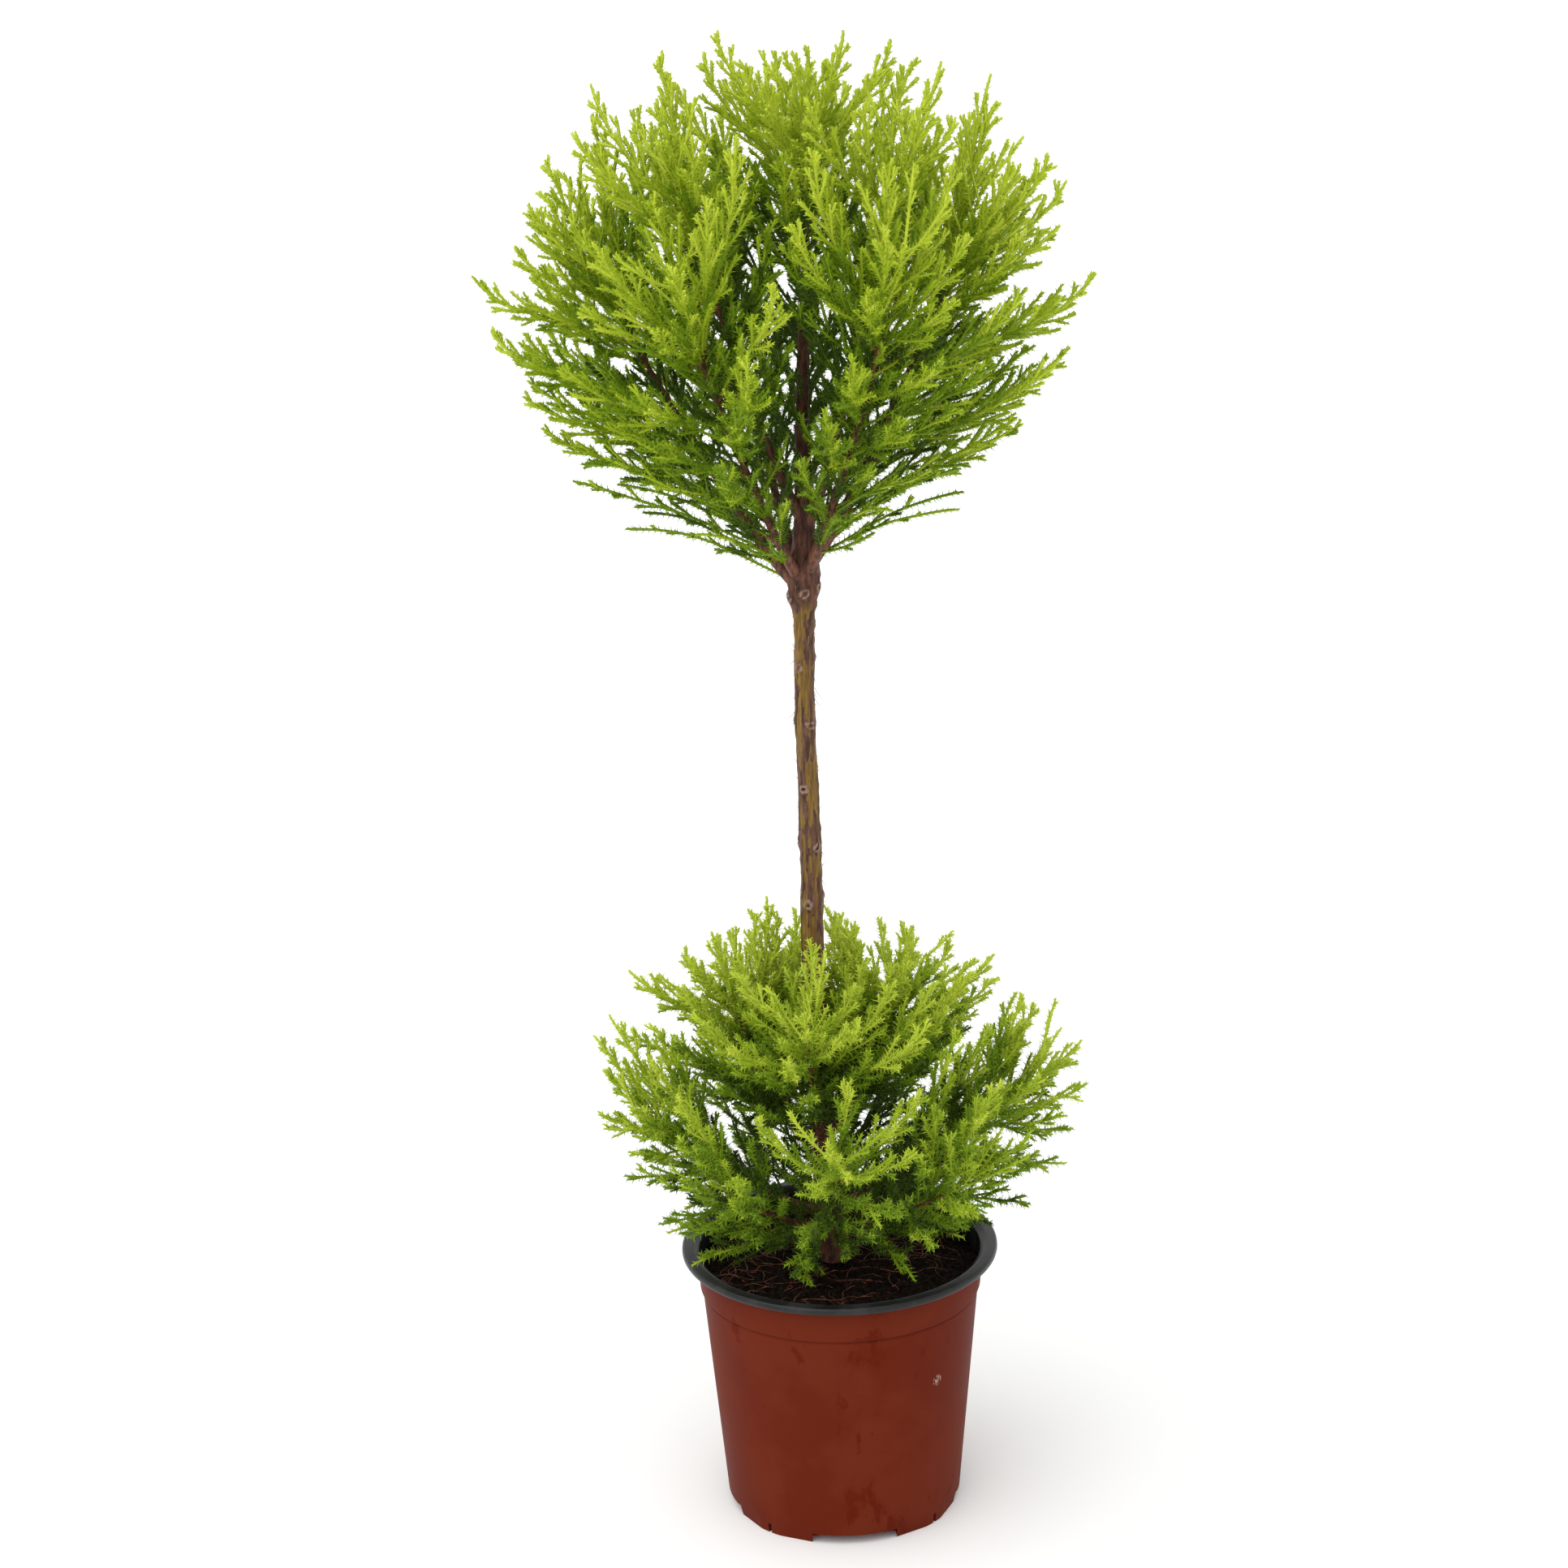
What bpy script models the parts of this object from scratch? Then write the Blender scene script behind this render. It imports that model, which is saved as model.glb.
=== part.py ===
"""Potted lemon cypress, trained as a two-ball standard, in a round nursery pot.

Metres, +Z up. The origin is the middle of the pot's flat foot, on the ground.
The plant is a trunk with boughs, and each bough carries one mass of foliage
that keeps to its own space in the upper crown or in the lower ball.
"""

import math
import random

import bmesh
import bpy
from mathutils import Matrix, Vector, noise

# Pot
RIM_RADIUS = 0.095
POT_HEIGHT = 0.167
SHEET = 0.0012
FLANGE_WIDTH = 0.0065
CURL_DROP = 0.0045
COLLAR_TOP_RADIUS = 0.0862
COLLAR_LOW_RADIUS = 0.0846
GROOVE_HEIGHT = 0.1394
BODY_TOP_RADIUS = 0.0830
BASE_RADIUS = 0.0704
FOOT_HEIGHT = 0.0062
FOOT_INNER_RADIUS = 0.0590
PAD_RADIUS = 0.0300
STEP_DRAFT = 0.0015
CURL_RADIUS = 0.0010
LIP_DROP = 0.0030
QUARTERS = 4
GAP_TURN = math.radians(5)
GAP_LOW_WIDTH = 0.0370
GAP_HIGH_WIDTH = 0.0230
NOTCH_WIDTH = 0.0024
CUT_LENGTH = 0.0240
FACET_HEIGHT = 0.0155
FACET_DEPTH = 0.0016
FACET_SLAB = Vector((0.0200, 0.0600, 0.0600))
FACET_TURN = math.radians(28)
DRAIN_RADIUS = 0.0040
DRAIN_RING = 0.0450
DRAIN_SIDES = 12
TURNED_STEPS = 32

# Compost
SEAT_GAP = 0.0003
SOIL_HEIGHT = 0.1530
SOIL_ROUGHNESS = 0.0018
SOIL_GRAIN = 90
SOIL_MOUND = 0.0035

# Trunk: height, sideways place and radius of its bends and knots
TRUNK_FOOT = SOIL_HEIGHT + SOIL_MOUND + SEAT_GAP
TRUNK_POINTS = (
    (TRUNK_FOOT, -0.0030, 0.0000, 0.0104),
    (0.1650, -0.0030, 0.0000, 0.0088),
    (0.1800, -0.0048, 0.0006, 0.0077),
    (0.2200, -0.0084, 0.0016, 0.0072),
    (0.2800, -0.0114, 0.0024, 0.0069),
    (0.3340, -0.0121, 0.0026, 0.0067),
    (0.3780, -0.0121, 0.0020, 0.0065),
    (0.3860, -0.0122, 0.0018, 0.0071),
    (0.3950, -0.0121, 0.0016, 0.0063),
    (0.4180, -0.0122, 0.0010, 0.0063),
    (0.4260, -0.0123, 0.0008, 0.0071),
    (0.4350, -0.0125, 0.0006, 0.0062),
    (0.4860, -0.0134, -0.0004, 0.0059),
    (0.4950, -0.0136, -0.0006, 0.0067),
    (0.5030, -0.0136, -0.0006, 0.0059),
    (0.5200, -0.0136, -0.0008, 0.0058),
    (0.5290, -0.0134, -0.0008, 0.0067),
    (0.5390, -0.0132, -0.0006, 0.0059),
    (0.5600, -0.0131, 0.0000, 0.0064),
    (0.5720, -0.0132, 0.0002, 0.0094),
    (0.5860, -0.0128, 0.0004, 0.0098),
    (0.6000, -0.0120, 0.0008, 0.0070),
    (0.6200, -0.0114, 0.0014, 0.0056),
    (0.6500, -0.0118, 0.0018, 0.0046),
    (0.6900, -0.0112, 0.0010, 0.0036),
    (0.7300, -0.0100, 0.0000, 0.0026),
)
TRUNK_SIDES = 8
BOUGH_SIDES = 6
BOUGH_STEPS = 4

# Reach of the foliage from a middle, at every 30 degrees from the right-hand side up and round
CROWN_MIDDLE = Vector((-0.0200, 0.0000, 0.7500))
CROWN_REACH = (0.174, 0.163, 0.146, 0.139, 0.146, 0.158, 0.173, 0.158, 0.160, 0.150, 0.150, 0.155)
BALL_MIDDLE = Vector((0.0010, 0.0000, 0.2780))
BALL_REACH = (0.150, 0.122, 0.100, 0.092, 0.103, 0.127, 0.148, 0.144, 0.128, 0.112, 0.118, 0.146)
LOBE_DEPTH = 0.05
LOBE_SCALE = 2.3

# Boughs: foot height on the trunk, compass turn, rise at the foot and at the tip, length, foot radius
CROWN_BOUGHS = (
    (0.574, 176, 46, 60, 0.062, 0.0046),
    (0.578, 236, 46, 60, 0.058, 0.0040),
    (0.580, 300, 48, 62, 0.060, 0.0042),
    (0.584, 356, 52, 66, 0.064, 0.0046),
    (0.582, 52, 46, 60, 0.060, 0.0040),
    (0.577, 114, 44, 58, 0.060, 0.0042),
    (0.612, 205, 62, 72, 0.070, 0.0036),
    (0.606, 325, 64, 74, 0.072, 0.0038),
    (0.618, 85, 62, 72, 0.070, 0.0036),
)
BALL_BOUGHS = (
    (0.184, 188, 18, 34, 0.042, 0.0036),
    (0.176, 230, 16, 32, 0.038, 0.0034),
    (0.182, 272, 16, 40, 0.036, 0.0034),
    (0.174, 314, 16, 32, 0.038, 0.0034),
    (0.188, 4, 18, 34, 0.042, 0.0036),
    (0.178, 92, 16, 32, 0.042, 0.0034),
    (0.224, 152, 40, 58, 0.036, 0.0032),
    (0.232, 262, 42, 60, 0.036, 0.0032),
    (0.228, 38, 40, 58, 0.036, 0.0032),
)
BOUGH_TAPER = 0.45
GUIDE_STEP = 0.024
GUIDE_STEPS = 8
GUIDE_FEWEST = 3
GUIDE_SHARE = 0.78
GUIDE_LIFT = 0.03
STEM_SHARE = 0.62
STEM_TAPER = 0.6
LIMB_CLEARANCE = 0.0012
SPACE_MARGIN = 0.0012
POT_CLEARANCE = 0.0025

# Shoots: one leafy plume each, spread evenly over the reach, some of them short
CROWN_SHOOTS = 104
BALL_SHOOTS = 88
REACH_SPREAD = (0.97, 1.08)
INNER_SPREAD = (0.62, 0.84)
INNER_EVERY = 4
SHOOT_SIDES = 3
SHOOT_ANGLE = math.radians(38)
SHOOT_START = (0.05, 0.58)
LEAVE_FORWARD = 0.25
LEAVE_HANDLE = 0.30
ARRIVE_LIFT = 0.35
ARRIVE_HANDLE = 0.34
SHOOT_RINGS = (0.0, 0.26, 0.48, 0.68, 0.86)
SHOOT_RADII = (0.0010, 0.0024, 0.0048, 0.0048, 0.0036)
SHOOT_TWIST = math.radians(38)
PULLS = (0.0, 0.12, 0.24, 0.36, 0.5)
PULL_SHORTENS = 0.25

# Teeth: the side sprays drawn out of a shoot's faces
TOOTH_OUT = 0.0160
TOOTH_FORWARD = 0.0150
TOOTH_LIFT = 0.0030
TOOTH_SPREAD = (0.72, 1.16)
TOOTH_FADE = 0.10
TOOTH_ROOM = 0.7

GOLDEN_TURN = math.pi * (3 - math.sqrt(5))
SMOOTH_ANGLE = math.radians(50)
SEED = 4

# Colours, as linear values
TERRACOTTA = (0.150, 0.023, 0.009)
COMPOST = (0.010, 0.006, 0.004)
BARK = (0.120, 0.056, 0.020)
RED_BARK = (0.105, 0.034, 0.015)
LIME = (0.330, 0.480, 0.040)
LEAF_GREEN = (0.180, 0.350, 0.016)


def clear_scene():
    for obj in list(bpy.data.objects):
        bpy.data.objects.remove(obj, do_unlink=True)


def new_collection(name):
    collection = bpy.data.collections.new(name)
    bpy.context.scene.collection.children.link(collection)
    return collection


def add_object(name, mesh, collection):
    obj = bpy.data.objects.new(name, mesh)
    collection.objects.link(obj)
    return obj


def from_bmesh(name, bm, collection):
    """An object from a closed bmesh, with its faces turned outwards."""
    bmesh.ops.recalc_face_normals(bm, faces=bm.faces)
    if bm.calc_volume(signed=True) < 0:
        bmesh.ops.reverse_faces(bm, faces=bm.faces)
    mesh = bpy.data.meshes.new(name)
    bm.to_mesh(mesh)
    bm.free()
    return add_object(name, mesh, collection)


def finish(obj, colour, roughness):
    material = bpy.data.materials.new(obj.name)
    material.use_nodes = True
    shader = material.node_tree.nodes["Principled BSDF"]
    shader.inputs["Base Color"].default_value = (*colour, 1.0)
    shader.inputs["Roughness"].default_value = roughness
    shader.inputs["Metallic"].default_value = 0.0
    obj.data.materials.clear()
    obj.data.materials.append(material)


def shade_round(obj):
    obj.data.shade_smooth()
    obj.data.set_sharp_from_angle(angle=SMOOTH_ANGLE)


def evaluated_mesh(obj):
    graph = bpy.context.evaluated_depsgraph_get()
    return bpy.data.meshes.new_from_object(obj.evaluated_get(graph))


def boolean(obj, operation, solver, cutter=None, collection=None):
    """Adds a Boolean, with one object or a collection of them, and applies it."""
    modifier = obj.modifiers.new(operation.title(), "BOOLEAN")
    modifier.operation = operation
    modifier.solver = solver
    if collection:
        modifier.operand_type = "COLLECTION"
        modifier.collection = collection
    else:
        modifier.object = cutter
    mesh = evaluated_mesh(obj)
    obj.modifiers.remove(modifier)
    old = obj.data
    obj.data = mesh
    bpy.data.meshes.remove(old)


# Turned pieces

def turned(name, profile, collection):
    """A profile of (radius, height) points, up the inside and down the outside, turned about Z."""
    mesh = bpy.data.meshes.new(name)
    points = [(radius, 0.0, height) for radius, height in profile]
    mesh.from_pydata(points, [(i, i + 1) for i in range(len(points) - 1)], [])
    obj = add_object(name, mesh, collection)
    screw = obj.modifiers.new("Turn", "SCREW")
    screw.steps = TURNED_STEPS
    screw.render_steps = TURNED_STEPS
    screw.use_merge_vertices = True
    screw.merge_threshold = 0.00001
    return obj


def body_radius(height):
    """The pot wall's outer radius, which widens evenly from the ground to the groove."""
    return BASE_RADIUS + (BODY_TOP_RADIUS - BASE_RADIUS) * height / GROOVE_HEIGHT


def pot_profile():
    flange_inner = RIM_RADIUS - FLANGE_WIDTH
    inside = [
        (0.0, FOOT_HEIGHT + SHEET),
        (body_radius(FOOT_HEIGHT) - SHEET, FOOT_HEIGHT + SHEET),
        (BODY_TOP_RADIUS - SHEET, GROOVE_HEIGHT - SHEET),
        (COLLAR_LOW_RADIUS - SHEET, GROOVE_HEIGHT + SHEET),
        (COLLAR_TOP_RADIUS - SHEET, POT_HEIGHT - LIP_DROP),
        (flange_inner - CURL_RADIUS, POT_HEIGHT - CURL_RADIUS),
    ]
    rim = [
        (flange_inner, POT_HEIGHT),
        (RIM_RADIUS - CURL_RADIUS, POT_HEIGHT),
        (RIM_RADIUS, POT_HEIGHT - CURL_RADIUS),
        (RIM_RADIUS, POT_HEIGHT - CURL_DROP),
        (RIM_RADIUS - SHEET, POT_HEIGHT - CURL_DROP),
        (RIM_RADIUS - 2 * SHEET, POT_HEIGHT - 2 * SHEET),
    ]
    outside = [
        (COLLAR_TOP_RADIUS, POT_HEIGHT - CURL_DROP - STEP_DRAFT),
        (COLLAR_LOW_RADIUS, GROOVE_HEIGHT + CURL_RADIUS),
        (BODY_TOP_RADIUS, GROOVE_HEIGHT - CURL_RADIUS),
        (body_radius(FACET_HEIGHT), FACET_HEIGHT),
        (BASE_RADIUS, 0.0),
        (FOOT_INNER_RADIUS, 0.0),
        (FOOT_INNER_RADIUS - STEP_DRAFT, FOOT_HEIGHT),
        (PAD_RADIUS + 2 * STEP_DRAFT, FOOT_HEIGHT),
        (PAD_RADIUS, 0.0),
        (0.0, 0.0),
    ]
    return inside + rim + outside


def hide(obj):
    obj.hide_render = True
    obj.display_type = "WIRE"


def box_cutter(name, size, collection):
    bm = bmesh.new()
    bmesh.ops.create_cube(bm, size=1.0)
    bmesh.ops.scale(bm, vec=size, verts=bm.verts)
    obj = from_bmesh(name, bm, collection)
    hide(obj)
    return obj


def gap_cutter(name, low_width, high_width, turn, collection):
    """A trapezium bar, widest at the ground, that runs out through the foot ring."""
    obj = box_cutter(name, (CUT_LENGTH, low_width, 2 * FOOT_HEIGHT), collection)
    slope = (low_width - high_width) / 2
    for vertex in obj.data.vertices:
        wider = -1 if vertex.co.z > 0 else 1
        vertex.co.y += math.copysign(wider * slope, vertex.co.y)
    middle = (FOOT_INNER_RADIUS + BASE_RADIUS + CUT_LENGTH / 3) / 2
    obj.rotation_euler = (0, 0, turn)
    obj.location = Matrix.Rotation(turn, 3, "Z") @ Vector((middle, 0, 0))
    return obj


def facet_cutter(name, turn, collection):
    """A slab that shaves the outer face of one foot flat."""
    obj = box_cutter(name, FACET_SLAB, collection)
    tilt = math.atan2(FACET_DEPTH + body_radius(FACET_HEIGHT) - BASE_RADIUS, FACET_HEIGHT)
    obj.rotation_euler = (0, tilt, turn)
    turned_slab = Matrix.Rotation(turn, 3, "Z") @ Matrix.Rotation(tilt, 3, "Y")
    foot_edge = Matrix.Rotation(turn, 3, "Z") @ Vector((BASE_RADIUS - FACET_DEPTH, 0, 0))
    obj.location = foot_edge + turned_slab @ Vector((FACET_SLAB.x / 2, 0, 0))
    return obj


def drain_cutter(name, turn, collection):
    bm = bmesh.new()
    bmesh.ops.create_cone(
        bm,
        cap_ends=True,
        segments=DRAIN_SIDES,
        radius1=DRAIN_RADIUS,
        radius2=DRAIN_RADIUS,
        depth=2 * FOOT_HEIGHT,
    )
    obj = from_bmesh(name, bm, collection)
    hide(obj)
    obj.location = Matrix.Rotation(turn, 3, "Z") @ Vector((DRAIN_RING, 0, FOOT_HEIGHT + SHEET))
    return obj


def make_pot(collection, cutters):
    pot = turned("pot", pot_profile(), collection)
    quarter = 2 * math.pi / QUARTERS
    for i in range(QUARTERS):
        gap = GAP_TURN - math.pi / 2 + i * quarter
        gap_cutter(f"foot_gap_{i + 1}", GAP_LOW_WIDTH, GAP_HIGH_WIDTH, gap, cutters)
        gap_cutter(f"foot_notch_{i + 1}", NOTCH_WIDTH, NOTCH_WIDTH, gap + quarter / 2, cutters)
        drain_cutter(f"drain_{i + 1}", gap + quarter / 2, cutters)
        facet_cutter(f"foot_facet_{2 * i + 1}", gap - FACET_TURN, cutters)
        facet_cutter(f"foot_facet_{2 * i + 2}", gap + FACET_TURN, cutters)
    cut = pot.modifiers.new("Feet", "BOOLEAN")
    cut.operation = "DIFFERENCE"
    cut.operand_type = "COLLECTION"
    cut.collection = cutters
    cut.solver = "EXACT"
    finish(pot, TERRACOTTA, 0.42)
    return pot


def make_soil(collection):
    """The compost, 0.3 mm clear of the pot all round, with a rough top that rises to the trunk."""
    inside = SHEET + SEAT_GAP
    top = SOIL_HEIGHT
    edge = COLLAR_LOW_RADIUS - inside
    trunk_foot = TRUNK_POINTS[0][3]
    profile = [
        (0.0, top + SOIL_MOUND),
        (1.3 * trunk_foot, top + SOIL_MOUND),
        (edge / 3, top + SOIL_MOUND / 3),
        (edge * 2 / 3, top),
        (edge, top - SOIL_MOUND / 3),
        (edge, GROOVE_HEIGHT + inside),
        (BODY_TOP_RADIUS - inside, GROOVE_HEIGHT - inside),
        (body_radius(FOOT_HEIGHT) - inside, FOOT_HEIGHT + inside),
        (0.0, FOOT_HEIGHT + inside),
    ]
    soil = turned("soil", profile, collection)
    mesh = evaluated_mesh(soil)
    soil.modifiers.clear()
    soil.data = mesh
    for vertex in mesh.vertices:
        radius = math.hypot(vertex.co.x, vertex.co.y)
        if vertex.co.z > top - SOIL_MOUND and 2 * trunk_foot < radius < edge - SHEET:
            vertex.co.z += SOIL_ROUGHNESS * noise.noise(vertex.co * SOIL_GRAIN)
    finish(soil, COMPOST, 0.95)
    return soil


# Limbs

def section(sides, collection):
    """A regular polygon of radius 1 m, which gives a limb its sides."""
    curve = bpy.data.curves.new(f"section_{sides}", "CURVE")
    curve.dimensions = "2D"
    spline = curve.splines.new("POLY")
    spline.points.add(sides - 1)
    spline.use_cyclic_u = True
    for i, point in enumerate(spline.points):
        angle = -2 * math.pi * i / sides
        point.co = (math.cos(angle), math.sin(angle), 0.0, 1.0)
    obj = add_object(curve.name, curve, collection)
    hide(obj)
    return obj


def limb_bmesh(points, radii, shape, collection, twist=0.0):
    """A tapering tube with flat ends, or a pointed tip where the last radius is zero."""
    curve = bpy.data.curves.new("limb", "CURVE")
    curve.dimensions = "3D"
    curve.bevel_mode = "OBJECT"
    curve.bevel_object = shape
    curve.use_fill_caps = True
    spline = curve.splines.new("POLY")
    spline.points.add(len(points) - 1)
    for i, spot in enumerate(spline.points):
        spot.co = (*points[i], 1.0)
        spot.radius = radii[i]
        spot.tilt = i * twist
    guide = add_object("limb", curve, collection)
    mesh = evaluated_mesh(guide)
    bpy.data.objects.remove(guide)
    bpy.data.curves.remove(curve)
    bm = bmesh.new()
    bm.from_mesh(mesh)
    bpy.data.meshes.remove(mesh)
    bmesh.ops.remove_doubles(bm, verts=bm.verts, dist=0.000001)
    bmesh.ops.recalc_face_normals(bm, faces=bm.faces)
    return bm


def segment_gap(point, start, end):
    """The distance from a point to a segment, and how far along the segment it is nearest."""
    along = end - start
    share = (point - start).dot(along) / along.length_squared
    share = min(1.0, max(0.0, share))
    return (point - start - along * share).length, share


def path_gap(point, path):
    return min(segment_gap(point, a, b)[0] for a, b in zip(path, path[1:]))


class Limb:
    """A trunk or bough: its middle line and its radius at each point."""

    def __init__(self, points, radii):
        self.points = points
        self.radii = radii

    def gap(self, point):
        """How far the point is outside the bark."""
        best = math.inf
        for i in range(len(self.points) - 1):
            distance, share = segment_gap(point, self.points[i], self.points[i + 1])
            radius = self.radii[i] + (self.radii[i + 1] - self.radii[i]) * share
            best = min(best, distance - radius)
        return best

    def at_height(self, height):
        for a, b in zip(self.points, self.points[1:]):
            if a.z <= height <= b.z:
                return a.lerp(b, (height - a.z) / (b.z - a.z))
        return self.points[-1].copy()


def make_trunk(collection, shape):
    points = [Vector((x, y, height)) for height, x, y, _ in TRUNK_POINTS]
    radii = [radius for *_, radius in TRUNK_POINTS]
    bm = limb_bmesh(points, radii, shape, collection)
    trunk = from_bmesh("trunk", bm, collection)
    shade_round(trunk)
    finish(trunk, BARK, 0.8)
    return Limb(points, radii)


def heading_of(turn, rise):
    return Vector((math.cos(rise) * math.cos(turn), math.cos(rise) * math.sin(turn), math.sin(rise)))


def bough_limb(trunk, row):
    """A limb that leaves the trunk and lifts steadily, from its row of named sizes."""
    height, turn, rise_foot, rise_tip, length, radius = row
    turn = math.radians(turn)
    points = [trunk.at_height(height)]
    for i in range(BOUGH_STEPS):
        share = (i + 0.5) / BOUGH_STEPS
        rise = math.radians(rise_foot + (rise_tip - rise_foot) * share)
        points.append(points[-1] + heading_of(turn, rise) * length / BOUGH_STEPS)
    radii = [radius * (1 - BOUGH_TAPER * i / BOUGH_STEPS) for i in range(BOUGH_STEPS + 1)]
    return Limb(points, radii)


def make_bough(name, limb, trunk, shapes, collection):
    """The bough, its root cut hollow to lie 0.3 mm clear of the trunk."""
    bm = limb_bmesh(limb.points, limb.radii, shapes[BOUGH_SIDES], collection)
    bough = from_bmesh(name, bm, collection)
    radii = [radius + SEAT_GAP for radius in trunk.radii]
    cutter_bm = limb_bmesh(trunk.points, radii, shapes[TRUNK_SIDES], collection)
    cutter = from_bmesh("trunk_cutter", cutter_bm, collection)
    boolean(bough, "DIFFERENCE", "EXACT", cutter=cutter)
    bpy.data.objects.remove(cutter)
    shade_round(bough)
    finish(bough, RED_BARK, 0.8)


# Space that each mass keeps to

def outline(angle, reach):
    """The front outline's reach at an angle from the right-hand side, eased between its points."""
    step = (angle / (2 * math.pi) * len(reach)) % len(reach)
    first = int(step)
    share = step - first
    share = share * share * (3 - 2 * share)
    return reach[first] * (1 - share) + reach[(first + 1) % len(reach)] * share


def reach_at(direction, reach):
    """How far the foliage goes this way: the left and right outlines, blended round the sides."""
    level = math.hypot(direction.x, direction.y)
    rise = math.atan2(direction.z, level)
    share = 0.5 + 0.5 * direction.x / max(level, 0.000001)
    side = outline(math.pi - rise, reach) * (1 - share) + outline(rise, reach) * share
    return side * (1 + LOBE_DEPTH * noise.noise(direction * LOBE_SCALE))


class Mass:
    """One mass of foliage: the limb that carries it, and its guide line out to the reach."""

    def __init__(self, name, limb, middle, reach):
        self.name = name
        self.limb = limb
        self.middle = middle
        self.reach = reach
        self.root = limb.points[-1]
        self.heading = (limb.points[-1] - limb.points[-2]).normalized()
        self.guide = self.guide_line()
        self.spine = limb.points[-BOUGH_STEPS - 1 :] + self.guide[1:]
        self.targets = []

    def guide_line(self):
        """From the limb's tip outward, lifting a little, to four fifths of the reach."""
        points = [self.root]
        heading = self.heading
        for i in range(GUIDE_STEPS):
            points.append(points[-1] + heading * GUIDE_STEP)
            outward = points[-1] - self.middle
            full = outward.length > GUIDE_SHARE * reach_at(outward.normalized(), self.reach)
            if i + 1 >= GUIDE_FEWEST and full and outward.dot(heading) > 0:
                break
            heading = (heading + Vector((0, 0, GUIDE_LIFT))).normalized()
        return points

    def stem_point(self, share):
        place = share * (len(self.guide) - 1)
        first = min(int(place), len(self.guide) - 2)
        return self.guide[first].lerp(self.guide[first + 1], place - first)

    def distance(self, point):
        return path_gap(point, self.spine)


def in_space(point, width, mass, masses, limbs):
    """Whether a ball this wide stays in the mass's own space, off every limb and off the pot."""
    flat = math.hypot(point.x, point.y)
    inside_rim = flat < COLLAR_LOW_RADIUS - SHEET - width - POT_CLEARANCE
    floor = SOIL_HEIGHT + SOIL_MOUND if inside_rim else POT_HEIGHT
    if flat < RIM_RADIUS + width + POT_CLEARANCE and point.z < floor + width + POT_CLEARANCE:
        return False
    if any(limb.gap(point) < width + LIMB_CLEARANCE for limb in limbs):
        return False
    own = mass.distance(point)
    needed = 2 * (width + SPACE_MARGIN)
    return all(other.distance(point) - own > needed for other in masses if other is not mass)


# Shoots

def shoot_path(mass, target, steps):
    """A curve that leaves the mass's stem slanting forward and arrives at its target pointing out."""
    axis = (mass.guide[-1] - mass.root).normalized()
    length = (mass.guide[-1] - mass.root).length
    straight = target - mass.root
    along = straight.dot(axis)
    aside = straight - axis * along
    share = (along - aside.length / math.tan(SHOOT_ANGLE)) / length
    nearest, furthest = SHOOT_START
    start = mass.stem_point(min(furthest, max(nearest, share)))
    span = (target - start).length
    direct = (target - start).normalized()
    leave = (direct * (1 - LEAVE_FORWARD) + axis * LEAVE_FORWARD).normalized()
    outward = (target - mass.middle).normalized()
    arrive = (outward + direct + Vector((0, 0, ARRIVE_LIFT))).normalized()
    first = start + leave * span * LEAVE_HANDLE
    second = target - arrive * span * ARRIVE_HANDLE
    points = []
    for share in steps:
        rest = 1 - share
        points.append(
            start * rest**3
            + first * 3 * rest**2 * share
            + second * 3 * rest * share**2
            + target * share**3
        )
    return points


def fitted_shoot(mass, target, masses, limbs):
    """The shoot to this target, drawn in towards the mass's guide until it keeps to its space."""
    reach = (target - mass.middle).length
    widths = (*SHOOT_RADII[1:], 0.0)
    for pull in PULLS:
        aim = target.lerp(mass.guide[-1], pull) - mass.middle
        aim = mass.middle + aim.normalized() * reach * (1 - PULL_SHORTENS * pull)
        points = shoot_path(mass, aim, (*SHOOT_RINGS, 1.0))
        if all(
            in_space(point, width, mass, masses, limbs)
            for point, width in zip(points[1:], widths)
        ):
            return points
    return None


def shoot_object(points, others, mass, masses, limbs, shape, rand, collection):
    """A three-sided shoot, bare at its foot, whose leafy faces are drawn out into side sprays."""
    bm = limb_bmesh(points, [*SHOOT_RADII, 0.0], shape, collection, twist=SHOOT_TWIST)
    heading = (points[-1] - points[1]).normalized()
    for face in bm.faces[:]:
        middle = face.calc_center_median()
        spans = [segment_gap(middle, a, b)[0] for a, b in zip(points, points[1:])]
        span = spans.index(min(spans))
        if len(face.verts) == SHOOT_SIDES or span == 0:
            continue
        size = rand.uniform(*TOOTH_SPREAD) * (1 - TOOTH_FADE * (span - 1))
        drawn = face.normal * TOOTH_OUT + heading * TOOTH_FORWARD + Vector((0, 0, TOOTH_LIFT))
        tip = middle + drawn * size
        room = path_gap(tip, points) * TOOTH_ROOM
        crowded = any(path_gap(tip, other) < room for other in others)
        if crowded or not in_space(tip, 0.0, mass, masses, limbs):
            continue
        tooth = bmesh.ops.poke(bm, faces=[face])["verts"][0]
        tooth.co = tip
    return from_bmesh("shoot", bm, collection)


def linked_faces(bm):
    """The faces in groups, each group one closed shell."""
    unseen = set(bm.faces)
    groups = []
    while unseen:
        group = {unseen.pop()}
        queue = list(group)
        while queue:
            face = queue.pop()
            near = {other for edge in face.edges for other in edge.link_faces} & unseen
            unseen -= near
            group |= near
            queue.extend(near)
        groups.append(group)
    return groups


def shell_volume(faces):
    total = 0.0
    for face in faces:
        first, *rest = [vert.co for vert in face.verts]
        for second, third in zip(rest, rest[1:]):
            total += first.dot(second.cross(third)) / 6
    return total


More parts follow.
